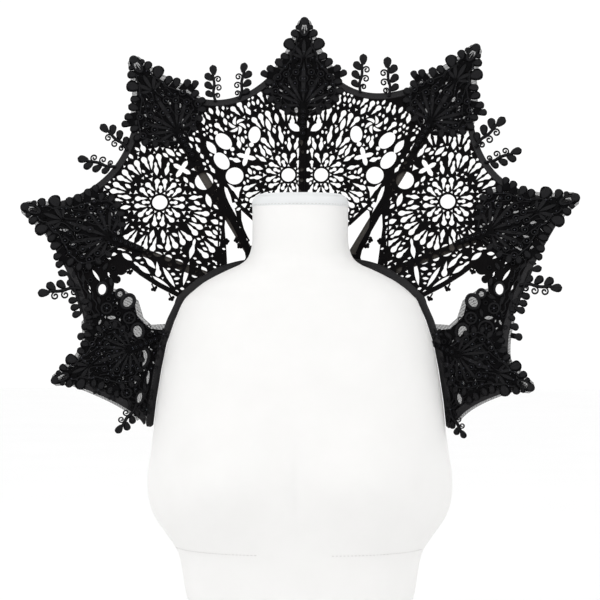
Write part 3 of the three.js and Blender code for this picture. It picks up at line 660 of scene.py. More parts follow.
def ring_trim():
    """A round cord ring, wider than it is high."""
    round_count, tube = 16, 6
    points, uv, faces = [], [], []
    for j in range(round_count):
        a = 2 * math.pi * j / round_count
        for i in range(tube):
            b = 2 * math.pi * i / tube
            reach = 1 + 0.26 * math.cos(b)
            points.append((reach * math.cos(a), reach * math.sin(a), 0.5 * math.sin(b) + 0.3))
            uv.append((i / tube, j * 1.0))
            k = (j + 1) % round_count
            faces.append((j * tube + i, k * tube + i, k * tube + (i + 1) % tube, j * tube + (i + 1) % tube))
    return clean_object("trim_ring", points, faces, [], uv=uv)


def lathe_trim(name, rows, sides):
    """A small round solid by (radius, height) rows; the first and last are its poles."""
    points = [(0, 0, rows[0][1])]
    for radius, height in rows[1:-1]:
        for i in range(sides):
            a = 2 * math.pi * i / sides
            points.append((radius * math.cos(a), radius * math.sin(a), height))
    points.append((0, 0, rows[-1][1]))
    last = len(points) - 1
    faces = tube_faces(len(rows) - 2, sides, 1)[:-2]
    for i in range(sides):
        k = (i + 1) % sides
        faces.append((0, 1 + k, 1 + i))
        faces.append((last - sides + i, last - sides + k, last))
    return clean_object(name, points, faces, [])


def stitch_trim():
    """One stitch: a short thread that dips into the cloth at both ends."""
    rings, sides = 5, 5
    points = []
    for j in range(rings):
        s = j / (rings - 1)
        rise = math.sin(math.pi * s) * 0.22 - 0.06
        radius = 0.14 * (0.35 + 0.65 * math.sin(math.pi * s) ** 0.5)
        for i in range(sides):
            a = 2 * math.pi * i / sides
            points.append((radius * math.cos(a), s - 0.5, rise + radius * math.sin(a)))
    return clean_object("trim_stitch", points, tube_faces(rings, sides, flip=True), [])


TRIMS = {
    "leaf": leaf_trim(), "ring": ring_trim(), "stitch": stitch_trim(),
    "bead": lathe_trim("trim_bead", [(0, -0.6), (0.7, -0.35), (1, 0.1), (0.72, 0.62), (0, 0.85)], 8),
    "knob": lathe_trim("trim_knob", [(0, -0.05), (1, 0), (0.92, 0.5), (0.6, 0.88), (0.18, 0.72),
                                     (0, 0.66)], 12),
}


def make_scatter():
    """Geometry Nodes: one trim on every point, turned and sized by the points' own attributes."""
    tree, given, result = group_with("trims_on_points", [
        ("Points", "NodeSocketGeometry", None), ("Trim", "NodeSocketObject", None),
        ("Finish", "NodeSocketMaterial", None), ("Unevenness", "NodeSocketFloat", None),
        ("Seed", "NodeSocketInt", None)], [("Trims", "NodeSocketGeometry")], "GeometryNodeTree")
    turn, size = (node(tree, "GeometryNodeInputNamedAttribute", {"Name": label}, data_type="FLOAT_VECTOR")
                  for label in ("turn", "size"))
    turn = node(tree, "FunctionNodeEulerToRotation", {0: turn.outputs["Attribute"]})
    less = math_node(tree, "SUBTRACT", 1.0, given.outputs["Unevenness"])
    more = math_node(tree, "ADD", 1.0, given.outputs["Unevenness"])
    chance = node(tree, "FunctionNodeRandomValue", {2: less, 3: more, "Seed": given.outputs["Seed"]},
                  data_type="FLOAT")
    size = node(tree, "ShaderNodeVectorMath", {
        0: size.outputs["Attribute"], "Scale": chance.outputs[1]}, operation="SCALE")
    trim = node(tree, "GeometryNodeObjectInfo", {"Object": given.outputs["Trim"]})
    placed = node(tree, "GeometryNodeInstanceOnPoints", {
        "Points": given.outputs["Points"], "Instance": trim.outputs["Geometry"],
        "Rotation": turn.outputs[0], "Scale": size.outputs[0]})
    real = node(tree, "GeometryNodeRealizeInstances", {"Geometry": placed.outputs["Instances"]})
    dressed = node(tree, "GeometryNodeSetMaterial", {
        "Geometry": real.outputs["Geometry"], "Material": given.outputs["Finish"]})
    tree.links.new(dressed.outputs["Geometry"], result.inputs["Trims"])
    return tree


SCATTER = make_scatter()


def scattered(name, trim, material, places, turns, sizes, unevenness=0.0):
    """Trims at points in millimetres, with their turns and sizes, as one plain mesh."""
    if len(places) == 0:
        return None
    obj = clean_object(name, places, [], [])
    for label, values in (("turn", turns), ("size", sizes)):
        layer = obj.data.attributes.new(label, "FLOAT_VECTOR", "POINT")
        layer.data.foreach_set("vector", np.asarray(values, np.float32).ravel())
    modifier = obj.modifiers.new("trims", "NODES")
    modifier.node_group = SCATTER
    inputs = {"Trim": TRIMS[trim], "Finish": material, "Unevenness": unevenness, "Seed": 7}
    for item in SCATTER.interface.items_tree:
        if item.name in inputs:
            modifier[item.identifier] = inputs[item.name]
    graph = bpy.context.evaluated_depsgraph_get()
    mesh = bpy.data.meshes.new_from_object(obj.evaluated_get(graph))
    obj.modifiers.clear()
    obj.data = mesh
    mesh.name = name
    mesh.shade_smooth()
    return obj


def eulers(side, along, up):
    """The turns that lay a trim along a line, from its three directions at each place."""
    return np.array([tuple(Matrix(np.column_stack(rows)).to_euler()) for rows in zip(side, along, up)])


def frames_at(spots, front=1.0):
    """Where trims lie on the cloth and how they are turned, for rows of x, w, turn and lift."""
    spots = np.asarray(spots, float)
    p, turn, lift = spots[:, :2], spots[:, 2], spots[:, 3]
    direction = polar(turn, 1.0)
    along = unit(on_cloth(p + direction, lift) - on_cloth(p - direction, lift))
    up = forward_at(p) * front
    return on_cloth(p, lift), eulers(np.cross(along, up), along, up)


LACE_FINISHES = {"leaf": LACE_THREAD, "ring": CORD_THREAD, "bead": BEAD_WITH_PAINTED_GLINTS, "knob": LACE_THREAD}
LACE_UNEVENNESS = 0.06
CORD_STEP = 1.6
CORD_STITCH = 1.5


class Trimming:
    """The raised parts of one lace piece, kept by kind until they are made."""

    def __init__(self):
        self.spots = {kind: [] for kind in LACE_FINISHES}
        self.sizes = {kind: [] for kind in LACE_FINISHES}
        self.cords = []

    def add(self, kind, x, w, turn, size, lift):
        self.spots[kind].append((x, w, turn, lift))
        self.sizes[kind].append(size)

    def made(self, name):
        parts = []
        for kind, spots in self.spots.items():
            if not spots:
                continue
            places, turns = frames_at(spots)
            parts.append(scattered(f"{name}_{kind}", kind, LACE_FINISHES[kind], places, turns,
                                   self.sizes[kind], LACE_UNEVENNESS))
        if self.cords:
            parts.append(cord_mesh(f"{name}_cord", self.cords))
        return joined(name, parts)


def cord_mesh(name, cords, sides=6):
    """Sewn-on cords along lines of places: each row is (line, radius, lift)."""
    points, faces, uv = [], [], []
    for line, radius, lift in cords:
        line = np.asarray(line, float)
        steps = distances(line)
        count = max(3, int(steps[-1] / CORD_STEP))
        s = np.linspace(0, steps[-1], count)
        p = along_line(line, steps, s)
        middle = on_cloth(p, lift)
        along = unit(np.gradient(middle, axis=0))
        up = forward_at(p)
        side = np.cross(along, up)
        start = len(points)
        for j in range(count):
            for i in range(sides):
                a = 2 * math.pi * i / sides
                points.append(middle[j] + radius * (math.cos(a) * side[j] + math.sin(a) * up[j]))
                uv.append((i / sides, s[j] / CORD_STITCH))
        faces += tube_faces(count, sides, start)
    return clean_object(name, points, faces, [CORD_THREAD], uv=uv)


# The tracery: roses, lights and small fillings
ROSE_PETALS = 8
# Rings of lights: how many, the long light, the pair beside it, the corners between them
ROSE_RINGS = [
    (20, (34.6, 52.4, 6.0), (42.6, 62.6, 5.6, 4.5, 7.0), (37.8, 2.4)),
    (28, (66, 83, 6.8), (73, 93, 6.2, 4.7, 7.2), (69.0, 2.6)),
    (36, (97, 113, 6.8), (104, 122, 6.4, 4.7, 7.0), (99.5, 2.6)),
]


def rose(x, w, scale, first=22.5):
    """A rose window: an eye, petals of three lights each, and rings of long lights."""
    out = [disc(x, w, 9.2 * scale, count=24)]

    def light(kind, a, start, end, width):
        """A light between two places, each a radius and a distance to the side of the ray at a."""
        ends = [polar(a, r * scale) + polar(a + 90, side * scale) for r, side in (start, end)]
        middle, run = (ends[0] + ends[1]) / 2, ends[1] - ends[0]
        place = (x + middle[0], w + middle[1])
        out.append(shape(kind, *place, np.hypot(*run), width * scale, float(angle_of(run))))

    def corner(a, radius, size, turn):
        spot = polar(a, radius * scale)
        out.append(hollow_triangle(x + spot[0], w + spot[1], size * scale, turn))

    for i in range(ROSE_PETALS):
        a = first + i * 360 / ROSE_PETALS
        light("pear", a, (12.0, 0), (21.8, 0), 5.4)
        for side in (-1, 1):
            light("comma", a, (14.6, side * 5.2), (30.4, side * 4.4), 6.6)
    for i in range(ROSE_PETALS):
        a = first + (i + 0.5) * 360 / ROSE_PETALS
        corner(a, 12.6, 2.2, a)
        corner(a, 32.0, 3.4, a + 180)
        corner(a + 180 / ROSE_PETALS, 32.5, 2.4, a + 180 / ROSE_PETALS)
    for count, (low, high, wide), (start, end, out_side, in_side, comma), (spot, size) in ROSE_RINGS:
        for i in range(count):
            a = first + (i + 0.5) * 360 / count
            light("light", a, (low, 0), (high, 0), wide)
            for side in (-1, 1):
                light("comma", a, (start, side * out_side), (end, side * in_side), comma)
        for i in range(count):
            a = first + i * 360 / count
            corner(a, spot, size, a + 180)
            corner(a + 180 / count, end + 1.5, 2.2, a + 180 / count)
    return out


def fill_rows(angles, radii, length, width, kind="almond"):
    chance = random.Random(int(length * 10))
    out = []
    row = 0
    radius = radii[0]
    while radius < radii[1]:
        pitch = math.degrees((width + 1.5) / radius)
        for a in np.arange(angles[0] + (row % 2) * pitch / 2, angles[1], pitch):
            lean = chance.uniform(-16, 16)
            stretch = chance.uniform(0.82, 1.12)
            out.append(shape(kind, *polar(a, radius), length * stretch, width * stretch, a + lean))
        radius += length + 1.2
        row += 1
    return out


def fillings(angles, radii):
    return [*fill_rows(angles, radii, 15, 5.6, "light"), *fill_rows(angles, radii, 9, 4.4),
            *fill_rows(angles, radii, 5.4, 3.4)]


# Openings in the back panels: large windows above the strap, then round and pointed ones
BACK_WINDOWS = [
    np.array([(-96.6, 96), (-89.3, 83), (-83.6, 73), (-80.5, 64), (-76.5, 56), (-72.5, 50), (-70.5, 41),
              (-72, 36.5), (-84, 32), (-99.5, 29.5), (-99.8, 44), (-98.8, 62), (-97.8, 80)], float),
    np.array([(-99.9, 130.1), (-96, 127.7), (-91.7, 118.3), (-89.9, 111.1), (-86, 101.8), (-83, 90.9),
              (-87.5, 98.5), (-92.7, 107.5), (-96.7, 116.1), (-99.2, 124)], float),
    np.array([(-96.4, 133.9), (-91, 131.5), (-86.7, 128.7), (-78.3, 129.9), (-81.2, 122.6),
              (-81.9, 114.7), (-85, 119), (-87.7, 123.3), (-91, 126.2)], float),
    disc(-87, 106.1, 3.7, count=16), disc(-87.6, 143.4, 11, count=28),
    disc(-104.2, 162.4, 8.2, 12.4, -38, 28), shape("almond", -117.5, 179.5, 21, 9.4, -36),
    disc(-64, 196, 7.6, 10.8, 4, 26), disc(-67.6, 183.4, 3.1, count=12),
    disc(-102.5, 187.6, 8.4, 12.4, -44, 26), disc(-91.4, 177.6, 2.8, count=12),
    disc(-112.4, 198.6, 2.6, count=12),
]
# The opening beside the neck shows more of the bone on the right
NECK_WINDOWS = {
    -1: np.array([(-78.2, 100.3), (-64, 87.1), (-50, 74.1), (-50, 52), (-64.7, 59.1), (-69.5, 67),
                  (-74.1, 76.4), (-77.5, 88)], float),
    1: np.array([(-81, 98), (-78.2, 100.3), (-64, 87.1), (-50, 74.1), (-50, 49), (-58, 44.5), (-65, 44),
                 (-70, 50), (-76, 61), (-80.5, 74), (-82, 88)], float),
}
# Smaller openings that stay only where they leave a bar: kind, place, length, width, turn
BACK_LIGHTS = [
    quatrefoil(-73.6, 168, 12.6, 14), shape("almond", -14, 205.5, 18, 9.5, 124),
    shape("comma", -100, 134, 13, 5, 36), shape("light", -31, 196, 24, 6.4, -12),
    shape("light", -43, 190, 24, 6.2, -20), shape("light", -54, 176, 18, 5.4, -26),
    shape("light", -20, 184, 18, 6, -4), shape("almond", -47, 209, 17, 6, -18),
    shape("almond", -36.5, 217, 14, 5.4, -12), shape("comma", -8.6, 172, 14, 5, 4),
    shape("comma", -8.6, 158, 11, 5, 4),
]
SIDE_LIGHTS = [
    shape("almond", -175.2, 44, 13, 6.5, 100), disc(-162.4, 39.4, 4.4),
    shape("almond", -149, 34.8, 13, 6.4, 116), disc(-125, 136.5, 11.2, count=28),
    shape("almond", -122.6, 160.5, 27, 9.6, -14), quatrefoil(-152.8, 151.8, 12.5, 30),
    disc(-237.6, 1.1, 4.6, 6.6, 0, 20), shape("almond", -246.0, 18.0, 17, 3.4, -35),
    shape("almond", -253.0, 2.5, 12, 2.8, -20), shape("almond", -234, 40, 10, 3, -60),
    shape("almond", -247, 34, 8, 2.6, -40), shape("almond", -231, 19, 7, 2.4, -20),
    shape("almond", -118.5, 112, 18, 7, -18), shape("light", -146, 174, 20, 7, -34),
    shape("almond", -168, 173, 16, 6.4, -50), hollow_triangle(-137, 152, 5, 20),
]
FAN_CORNER = (-144.0, -8.0)
FAN_TURNS = -54 + 10.5 * np.arange(7)
# The lights in each direction: kind, distance of the near end, length, width
FAN_LIGHTS = [("almond", 14, 30, 5.2), ("light", 47, 26, 6.4), ("almond", 75, 16, 6.2)]


def corner_fan():
    """Long lights that spread from the corner over the window."""
    out = []
    for turn in FAN_TURNS:
        for kind, start, length, width in FAN_LIGHTS:
            middle = FAN_CORNER + polar(turn, start + length / 2)
            out.append(shape(kind, *middle, length, width, turn))
    return out


MULLION = [(-105.6, 145.3), (-114, 155.4), (-125.8, 174.5), (-130, 188.7), (-136, 214)]
MULLION_ANGLE = 72.0
MULLION_TOP = 33.5
RIB_RIM_ANGLE = 98.2
RIB_ANGLE = 93.2
RIB_LINE = [(-222, 33), (-205, 30), (-192.5, 20.5), (-172, 7.4), (-147, -5.5)]
# Lobes of lace in the corner of the open window, and the panel's edge beside them
CORNER_LOBES = [disc(-217, 26, 7.5), disc(-209, 30, 5), disc(-221, 13, 4.6)]
WINDOW_SIDE = [(-224.4, -1.2), (-222, 30)]
WINDOW_EDGE = [(-204, 26.8), (-191, 17.2)]
CROCKETS = [(-206.6, 23.0, 160), (-224.0, 19.0, 80), (-176.5, 2.4, 152), (-155.4, -9.2, 152)]
MULLION_CROCKETS = [(-94.9, 60.5, 82), (-82.0, 62.5, 255), (-78.0, 55.5, 225)]
# Bars left standing in the open windows
MULLION_BAR = [(-102.2, 27), (-101.2, 50), (-100, 66), (-99.3, 80), (-99, 94), (-100.5, 118), (-103.5, 137)]
NECK_BAR = [(-98, 100), (-88.5, 87.5), (-80.5, 73), (-72, 57.5), (-66.5, 45)]
NECK_BAR_WIDTH = {-1: 7.0, 1: 4.0}
SLIT_BAR = [(-101.5, 124), (-97.5, 110), (-91, 98), (-84.5, 86)]
CROSS_BAR = [(-84, 109.5), (-76.5, 102.5), (-63.9, 90.2), (-49.5, 77)]
SIDE_BAR = [(-103.4, 33), (-105.0, 90), (-105.8, 145)]
# Centre and size of the swirl of lights and of the roses
SWIRL = (-86, 208, 12.5)
BACK_ROSE = (-20.5, 144.6, 0.94)
SIDE_ROSE = (-177.5, 109)
ROSE_HEART = 60
# How far the panels go under the strap, and the gaps that keep two panels apart
UNDER_STRAP = 2.0
CENTRE_GAP = 0.05
PANEL_GAP = 0.02
MULLION_GAP = 0.04
SIDE_WORDS = {-1: "left", 1: "right"}


def crocket(x, w, turn):
    """A small three-lobed leaf on a short stem."""
    out = [shape("band", *(np.array([x, w]) - polar(turn, 3.0)), 7.0, 1.6, turn)]
    for lobe in (-80, 0, 80):
        out.append(disc(*(np.array([x, w]) + polar(turn + lobe, 2.2)), 1.9, count=12))
    return out


def panel_edge(angles, side):
    """The outer edge of a panel, tucked into the binding, laid out on the left."""
    return polar(angles, shifted(angles, rim_radius(-side * angles), -BINDING_WIDTH + 3.0))


def strap_edge(angles):
    """The inner edge of a panel, tucked under the strap."""
    return polar(angles, strap_outer(angles, -UNDER_STRAP))


def between(a, b, step=1.0):
    count = max(2, int(abs(b - a) / step) + 1)
    return np.linspace(a, b, count)


def back_panel(side):
    strap = between(-MULLION_ANGLE, -CENTRE_GAP)
    rim = between(-CENTRE_GAP, -MULLION_TOP)
    outline = np.vstack([strap_edge(strap), panel_edge(rim, side), MULLION[::-1]])
    windows = [*BACK_WINDOWS, NECK_WINDOWS[side]]
    lights = kept(outline, BACK_LIGHTS, 0.9, windows)
    lights += kept(outline, swirl(*SWIRL), 0.7)
    lights += kept(outline, rose(*BACK_ROSE), 0.68, [*windows, *lights])
    lights += kept(outline, fillings((-72, 0), (42, 262)), 1.0, [*windows, *lights])
    bars = [strip(curve_through(MULLION_BAR), 3.4), strip(NECK_BAR, NECK_BAR_WIDTH[side]),
            strip(SLIT_BAR, 4.0), strip(CROSS_BAR, 3.6)]
    leaves = [loop for row in MULLION_CROCKETS for loop in crocket(*row)]
    return on_side([*cloth([outline]), *openings([*windows, *lights]), *cloth([*bars, *leaves])], side)


def clear_of_tail(loop):
    """The panel narrows to a tail between the window and the rim, which is almost solid."""
    return loop[:, 1].min() > 40 or loop[:, 0].min() > -208


def side_panel(side):
    strap = between(-RIB_ANGLE, -MULLION_ANGLE - PANEL_GAP)
    rim = between(-MULLION_TOP - PANEL_GAP, -RIB_RIM_ANGLE)
    outline = np.vstack([MULLION, panel_edge(rim, side), WINDOW_SIDE, WINDOW_EDGE, strap_edge(strap)])
    outline[:len(MULLION), 0] -= MULLION_GAP
    lights = kept(outline, SIDE_LIGHTS, 0.9)
    petals = rose(*SIDE_ROSE, 1.0, 0.0)
    heart = [h for h in petals if np.hypot(*(h.mean(0) - SIDE_ROSE)) < ROSE_HEART]
    lights += kept(outline, heart, 0.85, lights)
    lights += kept(outline, corner_fan(), 1.1, lights)
    lights += kept(outline, [h for h in petals if clear_of_tail(h)], 0.85, lights)
    small = [h for h in fillings((-98, -34), (110, 320)) if clear_of_tail(h)]
    lights += kept(outline, small, 1.0, lights)
    bars = [strip(RIB_LINE, 5.6), strip(SIDE_BAR, 1.8)]
    leaves = [loop for row in CROCKETS for loop in crocket(*row)]
    return on_side([*cloth([outline]), *openings(lights), *cloth([*bars, *leaves, *CORNER_LOBES])], side)


# Guipure motifs: leaves, knobs, rings and cords on an openwork ground
MOTIF = [
    (0, 2.0), (3, 5.4), (10, 7.4), (17, 6.4), (21, 5.0), (25, 9.5), (32, 12.0), (37, 10), (43, 15),
    (51, 19), (56, 18), (63, 24), (71, 30), (79, 37), (86, 39), (93, 42), (100, 41.6), (105, 37.5),
    (110, 34.5), (114, 29), (120, 19), (126, 9), (132, 4.5), (158, 3.0),
]
# Leaves along a motif's edge: across, along from the tip, length, width, turn
EDGE_LEAVES = [
    (7.8, 12.6, 7, 6.4, 60), (11.5, 21, 12, 10, 52), (18, 35, 17, 15, 40), (24, 51, 12, 9.5, 62),
    (31, 59, 13, 10, 36), (42, 67, 11, 9.4, 40), (50, 73, 10, 8.6, 48), (43, 84, 12, 9, 78),
    (45, 96, 12, 9, 98), (40, 106, 11, 9, 122), (31, 114, 11, 9, 148), (19, 121, 11, 8.6, 160),
]
PALMETTE = [(0, 50, 7.6), (28, 41, 6.0), (46, 38, 5.8), (66, 32, 5.4), (92, 24, 5.2)]
PALMETTE_BASE = 114.0
# Narrow gaps between the palmette's leaves: turn, distance from its foot, length, width
PALMETTE_GAPS = [(37, 34, 13, 2.0), (37, 50, 8, 1.6), (56, 34, 13, 2.0), (79, 34, 13, 2.0)]
CREST = [(0, 24, 7), (34, 19, 6.4), (66, 14, 5.6)]
# Fans of leaves: the foot's distance from the tip, its gap, the leaves' rise and rows
MOTIF_FANS = [(PALMETTE_BASE, 5, 1.6, PALMETTE), (54.0, 2, 1.9, CREST)]
MOTIF_HOLES = [
    (0, 14.7, 3.5, 7.5, 0), (9.6, 33, 1.5, 3.2, 45), (9.8, 62.5, 1.9, 4.2, 4), (9.8, 76.4, 1.8, 3.6, -4),
    (11.6, 87.5, 1.5, 1.9, 20), (22, 78, 1.6, 5.0, 28), (17, 97, 1.5, 2.8, 20), (33, 90, 1.6, 3.8, 60),
    (12.4, 106.5, 3.2, 2.2, -36), (27, 104, 2.4, 1.5, -30), (8.8, 120, 2.1, 4.0, 14), (5, 46, 1.2, 2.4, 10),
]
LEAF_RISE = 1.7
MOST_SLITS = 34
# Beads are sewn up to this size of round spot, and larger spots take a ring
LARGEST_BEAD = 2.5


def spike_place(spike, u, v):
    angle, reach, axis, size = spike
    return polar(angle, reach) - polar(axis, 1) * v * size + polar(axis + 90, 1) * u * size


def motif_half(v):
    return np.interp(v, [row[0] for row in MOTIF], [row[1] for row in MOTIF])


def motif_piece(name, spike, seed):
    """One spike's motif: the openwork ground as cloth, with its raised leaves, rings and cords."""
    _, _, axis, size = spike
    chance = random.Random(seed)
    sides = (-1, 1)
    body = np.array([spike_place(spike, u, v) for v, u in MOTIF]
                    + [spike_place(spike, -u, v) for v, u in reversed(MOTIF)])
    trims = Trimming()
    lobes, holes = [], []
    front = LACE_FRONT

    def leaf(u, v, length, width, turn, rise=LEAF_RISE, ground=True):
        x, w = spike_place(spike, u, v)
        if ground:
            lobes.append(shape("drop", x, w, length * size * 1.02, width * size * 1.02, axis + turn))
            foot = spike_place(spike, u - math.copysign(11, u), v + 4)
            lobes.append(strip([(x, w), foot], width * size * 0.95))
        trims.add("leaf", x, w, axis + turn, (width * size, length * size, rise), front - 0.1)

    for side in sides:
        for u, v, length, width, turn in EDGE_LEAVES:
            leaf(side * u, v, length, width, side * turn)
        for foot, gap, rise, rows in MOTIF_FANS:
            for turn, length, width in rows:
                if turn or side > 0:
                    u, v = polar(turn, length / 2 + gap)
                    leaf(side * u, foot - v, length, width, side * turn, rise, False)
        for u, v, rx, ry, turn in MOTIF_HOLES:
            if u or side > 0:
                x, w = spike_place(spike, side * u, v)
                holes.append(disc(x, w, rx * size, ry * size, axis + side * turn, 14))
    knob = spike_place(spike, 0, 4.6)
    lobes.append(disc(*knob, 5.6 * size))
    trims.add("knob", *knob, axis, (5.4 * size, 5.4 * size, 2.2), front - 0.1)
    trims.add("ring", *spike_place(spike, 0, 14.7), axis, (4.9 * size, 8.6 * size, 2.4), front - 0.3)
    for side in sides:
        for turn, out, long, wide in PALMETTE_GAPS:
            u = out * math.sin(math.radians(turn))
            v = PALMETTE_BASE - out * math.cos(math.radians(turn))
            place = spike_place(spike, side * u, v)
            holes.append(shape("almond", *place, long * size, wide * size, axis + side * turn))
    # slits wherever there is room
    busy = []
    for _ in range(420):
        v = chance.uniform(26, 124)
        u = chance.uniform(-1, 1) * (motif_half(v) - 4)
        reach_out = math.hypot(u, v - PALMETTE_BASE)
        near = any(math.hypot(u - bu, v - bv) < 6.5 for bu, bv, _ in busy)
        if near or 18 < reach_out < 54 or len(busy) > MOST_SLITS:
            continue
        busy.append((u, v, 2.0))
        half_width, half_length = chance.uniform(0.6, 1.1) * size, chance.uniform(1.4, 2.8) * size
        lean = axis + chance.uniform(-70, 70)
        holes.append(disc(*spike_place(spike, u, v), half_width, half_length, lean, 12))
    for v in np.arange(122, 157, 7.0):
        x, w = spike_place(spike, 0, v)
        lobes.append(disc(x, w, 3.6 * size))
        trims.add("ring", x, w, 0, (2.6 * size, 2.6 * size, 2.2), front)
        trims.add("bead", x, w, 0, (1.1, 1.1, 1.2), front + 0.2)
    # rings with a bead in each, then smaller beads
    for radius, tries in ((5.0, 260), (3.4, 500), (2.2, 700)):
        for _ in range(tries):
            v = chance.uniform(24, 122)
            u = chance.uniform(0, motif_half(v) - 1)
            if radius > LARGEST_BEAD and v < 60:
                continue
            if any(math.hypot(abs(u) - abs(bu), v - bv) < radius + br + 0.8 for bu, bv, br in busy):
                continue
            busy.append((u, v, radius))
            for side in sides:
                x, w = spike_place(spike, side * u, v)
                if radius > LARGEST_BEAD:
                    across = radius * 0.74 * size
                    trims.add("ring", x, w, 0, (across, across, 2.1), front + 0.5)
                    trims.add("bead", x, w, 0, (1.2, 1.2, 1.3), front + 1.2)
                else:
                    trims.add("bead", x, w, 0, (0.95, 0.95, 1.0), front + chance.uniform(0.4, 1.4))
    waves = []
    for side in sides:
        edge = [(motif_half(v) - 1.6, v) for v in np.arange(24, 128, 3.0)]
        trims.cords.append(([spike_place(spike, side * u, v) for u, v in edge], 1.05, front + 0.5))
        for k, amplitude in ((0.72, 2.4), (0.45, 2.0), (0.22, 1.2)):
            wave = [(side * (k * motif_half(v) + amplitude * math.sin(v / (4.6 + 3 * k))), v)
                    for v in np.arange(40, 118, 1.6)]
            waves.append([spike_place(spike, u, v) for u, v in wave])
    laid = [*cloth([body, *lobes]), *openings(holes)]
    for wave in waves:
        trims.cords += cords_on(laid, wave, 0.75, front + 0.35)
    ground = drawn(f"motif_lace_{name}", laid, LACE_MIDDLE, LACE_HALF, [GROUND])
    raised = trims.made(f"motif_cords_{name}")
    return ground, raised


# The lower lace: ovals of cord round net windows, flowers and leaves
SILL = [(-224.3, -1.3), (-209, -6), (-199, -14), (-195, -30), (-186, -40), (-178.5, -46)]
SILL_RIM_ANGLE = 98.24
SILL_ANGLE = 106.5
# Open ovals with a net behind: x, w, half width, half length, turn, cord thickness
OVALS = [
    (-206.4, -13.8, 5.0, 6.5, 30, 2.2), (-193.6, -49.1, 5.0, 6.9, -10, 2.0),
    (-186.7, -80.8, 4.8, 9.4, 8, 1.9), (-214.2, -76.0, 3.9, 5.0, 0, 2.3),
    (-236.3, -77.0, 3.6, 5.4, 0, 1.6), (-190.0, -128.0, 2.6, 6.0, 12, 1.5),
    (-197.0, -108.0, 3.4, 5.6, 20, 1.6), (-216.3, -4.4, 3.0, 3.4, 0, 1.8),
]
# Solid roundels with a flower on them: x, w, radius
ROUNDELS = [(-221.5, -45.7, 8.6), (-190.5, -64.5, 7.0), (-204.0, -33.5, 6.4), (-231.0, -22.0, 6.0),
            (-209.0, -93.0, 6.4), (-229.0, -98.0, 6.0), (-205.0, -122.0, 5.6)]
# Slits between the cords: x, w, half width, half length, turn
SLITS = [
    (-224.6, -32.6, 5.0, 2.2, 0), (-220.6, -60.5, 1.5, 5.0, -45), (-206.6, -58.5, 1.5, 3.6, -45),
    (-200.1, -76.6, 1.2, 4.8, 0), (-209.4, -104.8, 1.5, 4.6, -10), (-219.7, -89.7, 1.5, 4.4, -30),
    (-191.9, -101.6, 3.0, 1.4, 0), (-225.3, -113.5, 1.2, 4.4, 80), (-245.9, -100.7, 1.7, 1.7, 0),
    (-180.8, -104.0, 1.7, 8.0, 5), (-181.5, -64.0, 1.5, 5.5, -20), (-228.0, -66.0, 1.2, 3.4, 20),
    (-240.0, -52.0, 1.3, 3.4, 60), (-238.0, -38.0, 1.2, 3.2, 20), (-246.0, -66.0, 1.2, 3.0, -30),
]
# Solid ends of leaves past the edge: x, w, radius
EDGE_KNOBS = [(-256.6, -14.1, 4.6), (-252.6, -23.3, 4.4), (-251.4, -33.0, 3.8), (-254.4, -43.2, 4.6),
              (-258.4, -54.8, 4.6)]


def on_drawing(points, laid):
    """Which places are cloth in a drawing."""
    found = np.zeros(len(points), bool)
    for kind, loop in laid:
        found[inside(points, np.asarray(loop, float))] = kind
    return found


def cords_on(laid, line, radius, lift):
    """The stretches of a cord that lie on cloth."""
    line = np.asarray(line, float)
    good = on_drawing(line, laid)
    runs, start = [], None
    for i, on in enumerate([*good, False]):
        if on and start is None:
            start = i
        elif not on and start is not None:
            if i - start > 4:
                runs.append((line[start:i], radius, lift))
            start = None
    return runs


def strewn(trims, laid, busy, region, front, chance, steps):
    """Flowers, leaves, rings, beads and small gaps, wherever a region has room."""
    low, high = region.min(0), region.max(0)
    for radius, tries in steps:
        spots = np.array([(chance.uniform(low[0], high[0]), chance.uniform(low[1], high[1]))
                          for _ in range(tries)])
        for x, w in spots[inside(spots, region)]:
            if any(math.hypot(x - bx, w - bw) < radius + br + 0.2 for bx, bw, br in busy):
                continue
            busy.append((x, w, radius))
            if radius > 6:
                start = chance.uniform(0, 60)
                for k in range(6):
                    spot = np.array([x, w]) + polar(start + k * 60, 4.3)
                    trims.add("leaf", *spot, start + k * 60, (4.4, 6.4, 1.8), front)
                trims.add("bead", x, w, 0, (1.5, 1.5, 1.6), front + 1.0)
            elif radius > 4:
                turn = angle_at(x, w) + chance.choice((-70, -20, 30, 80))
                trims.add("leaf", x, w, turn, (6.0, 11.0, 1.9), front)
            elif radius > 3:
                trims.add("ring", x, w, 0, (2.3, 2.3, 2.6), front + 0.1)
                if chance.random() < 0.35:
                    laid.append((False, disc(x, w, 1.3, count=10)))
            elif chance.random() < 0.45:
                laid.append((False, disc(x, w, 0.9, 1.7, chance.uniform(0, 180), 10)))
            else:
                trims.add("bead", x, w, 0, (1.0, 1.0, 1.1), front + 0.4)


# Raised work in a region: the room each kind takes, and how often a place is tried
STREWING = ((7.2, 500), (5.0, 900), (3.2, 1600), (1.9, 2600))
TAIL_STREWING = ((5.0, 900), (3.2, 1600), (1.9, 1800))
# The tail of a side panel, covered with lace work
TAIL = np.array([(-226, 27), (-228, 2), (-252, -28), (-262, -10), (-272, 14), (-278, 36), (-262, 44),
                 (-240, 46)], float)
TAIL_OVAL = (-237.6, 1.1, 6.0, 8.0)
TAIL_HOLES = [(-237.6, 1.1, 7.5), (-246, 18, 5), (-253, 2.5, 4), (-234, 40, 4), (-247, 34, 4),
              (-231, 19, 3.5), (-242, 11, 4), (-250, 24, 4)]


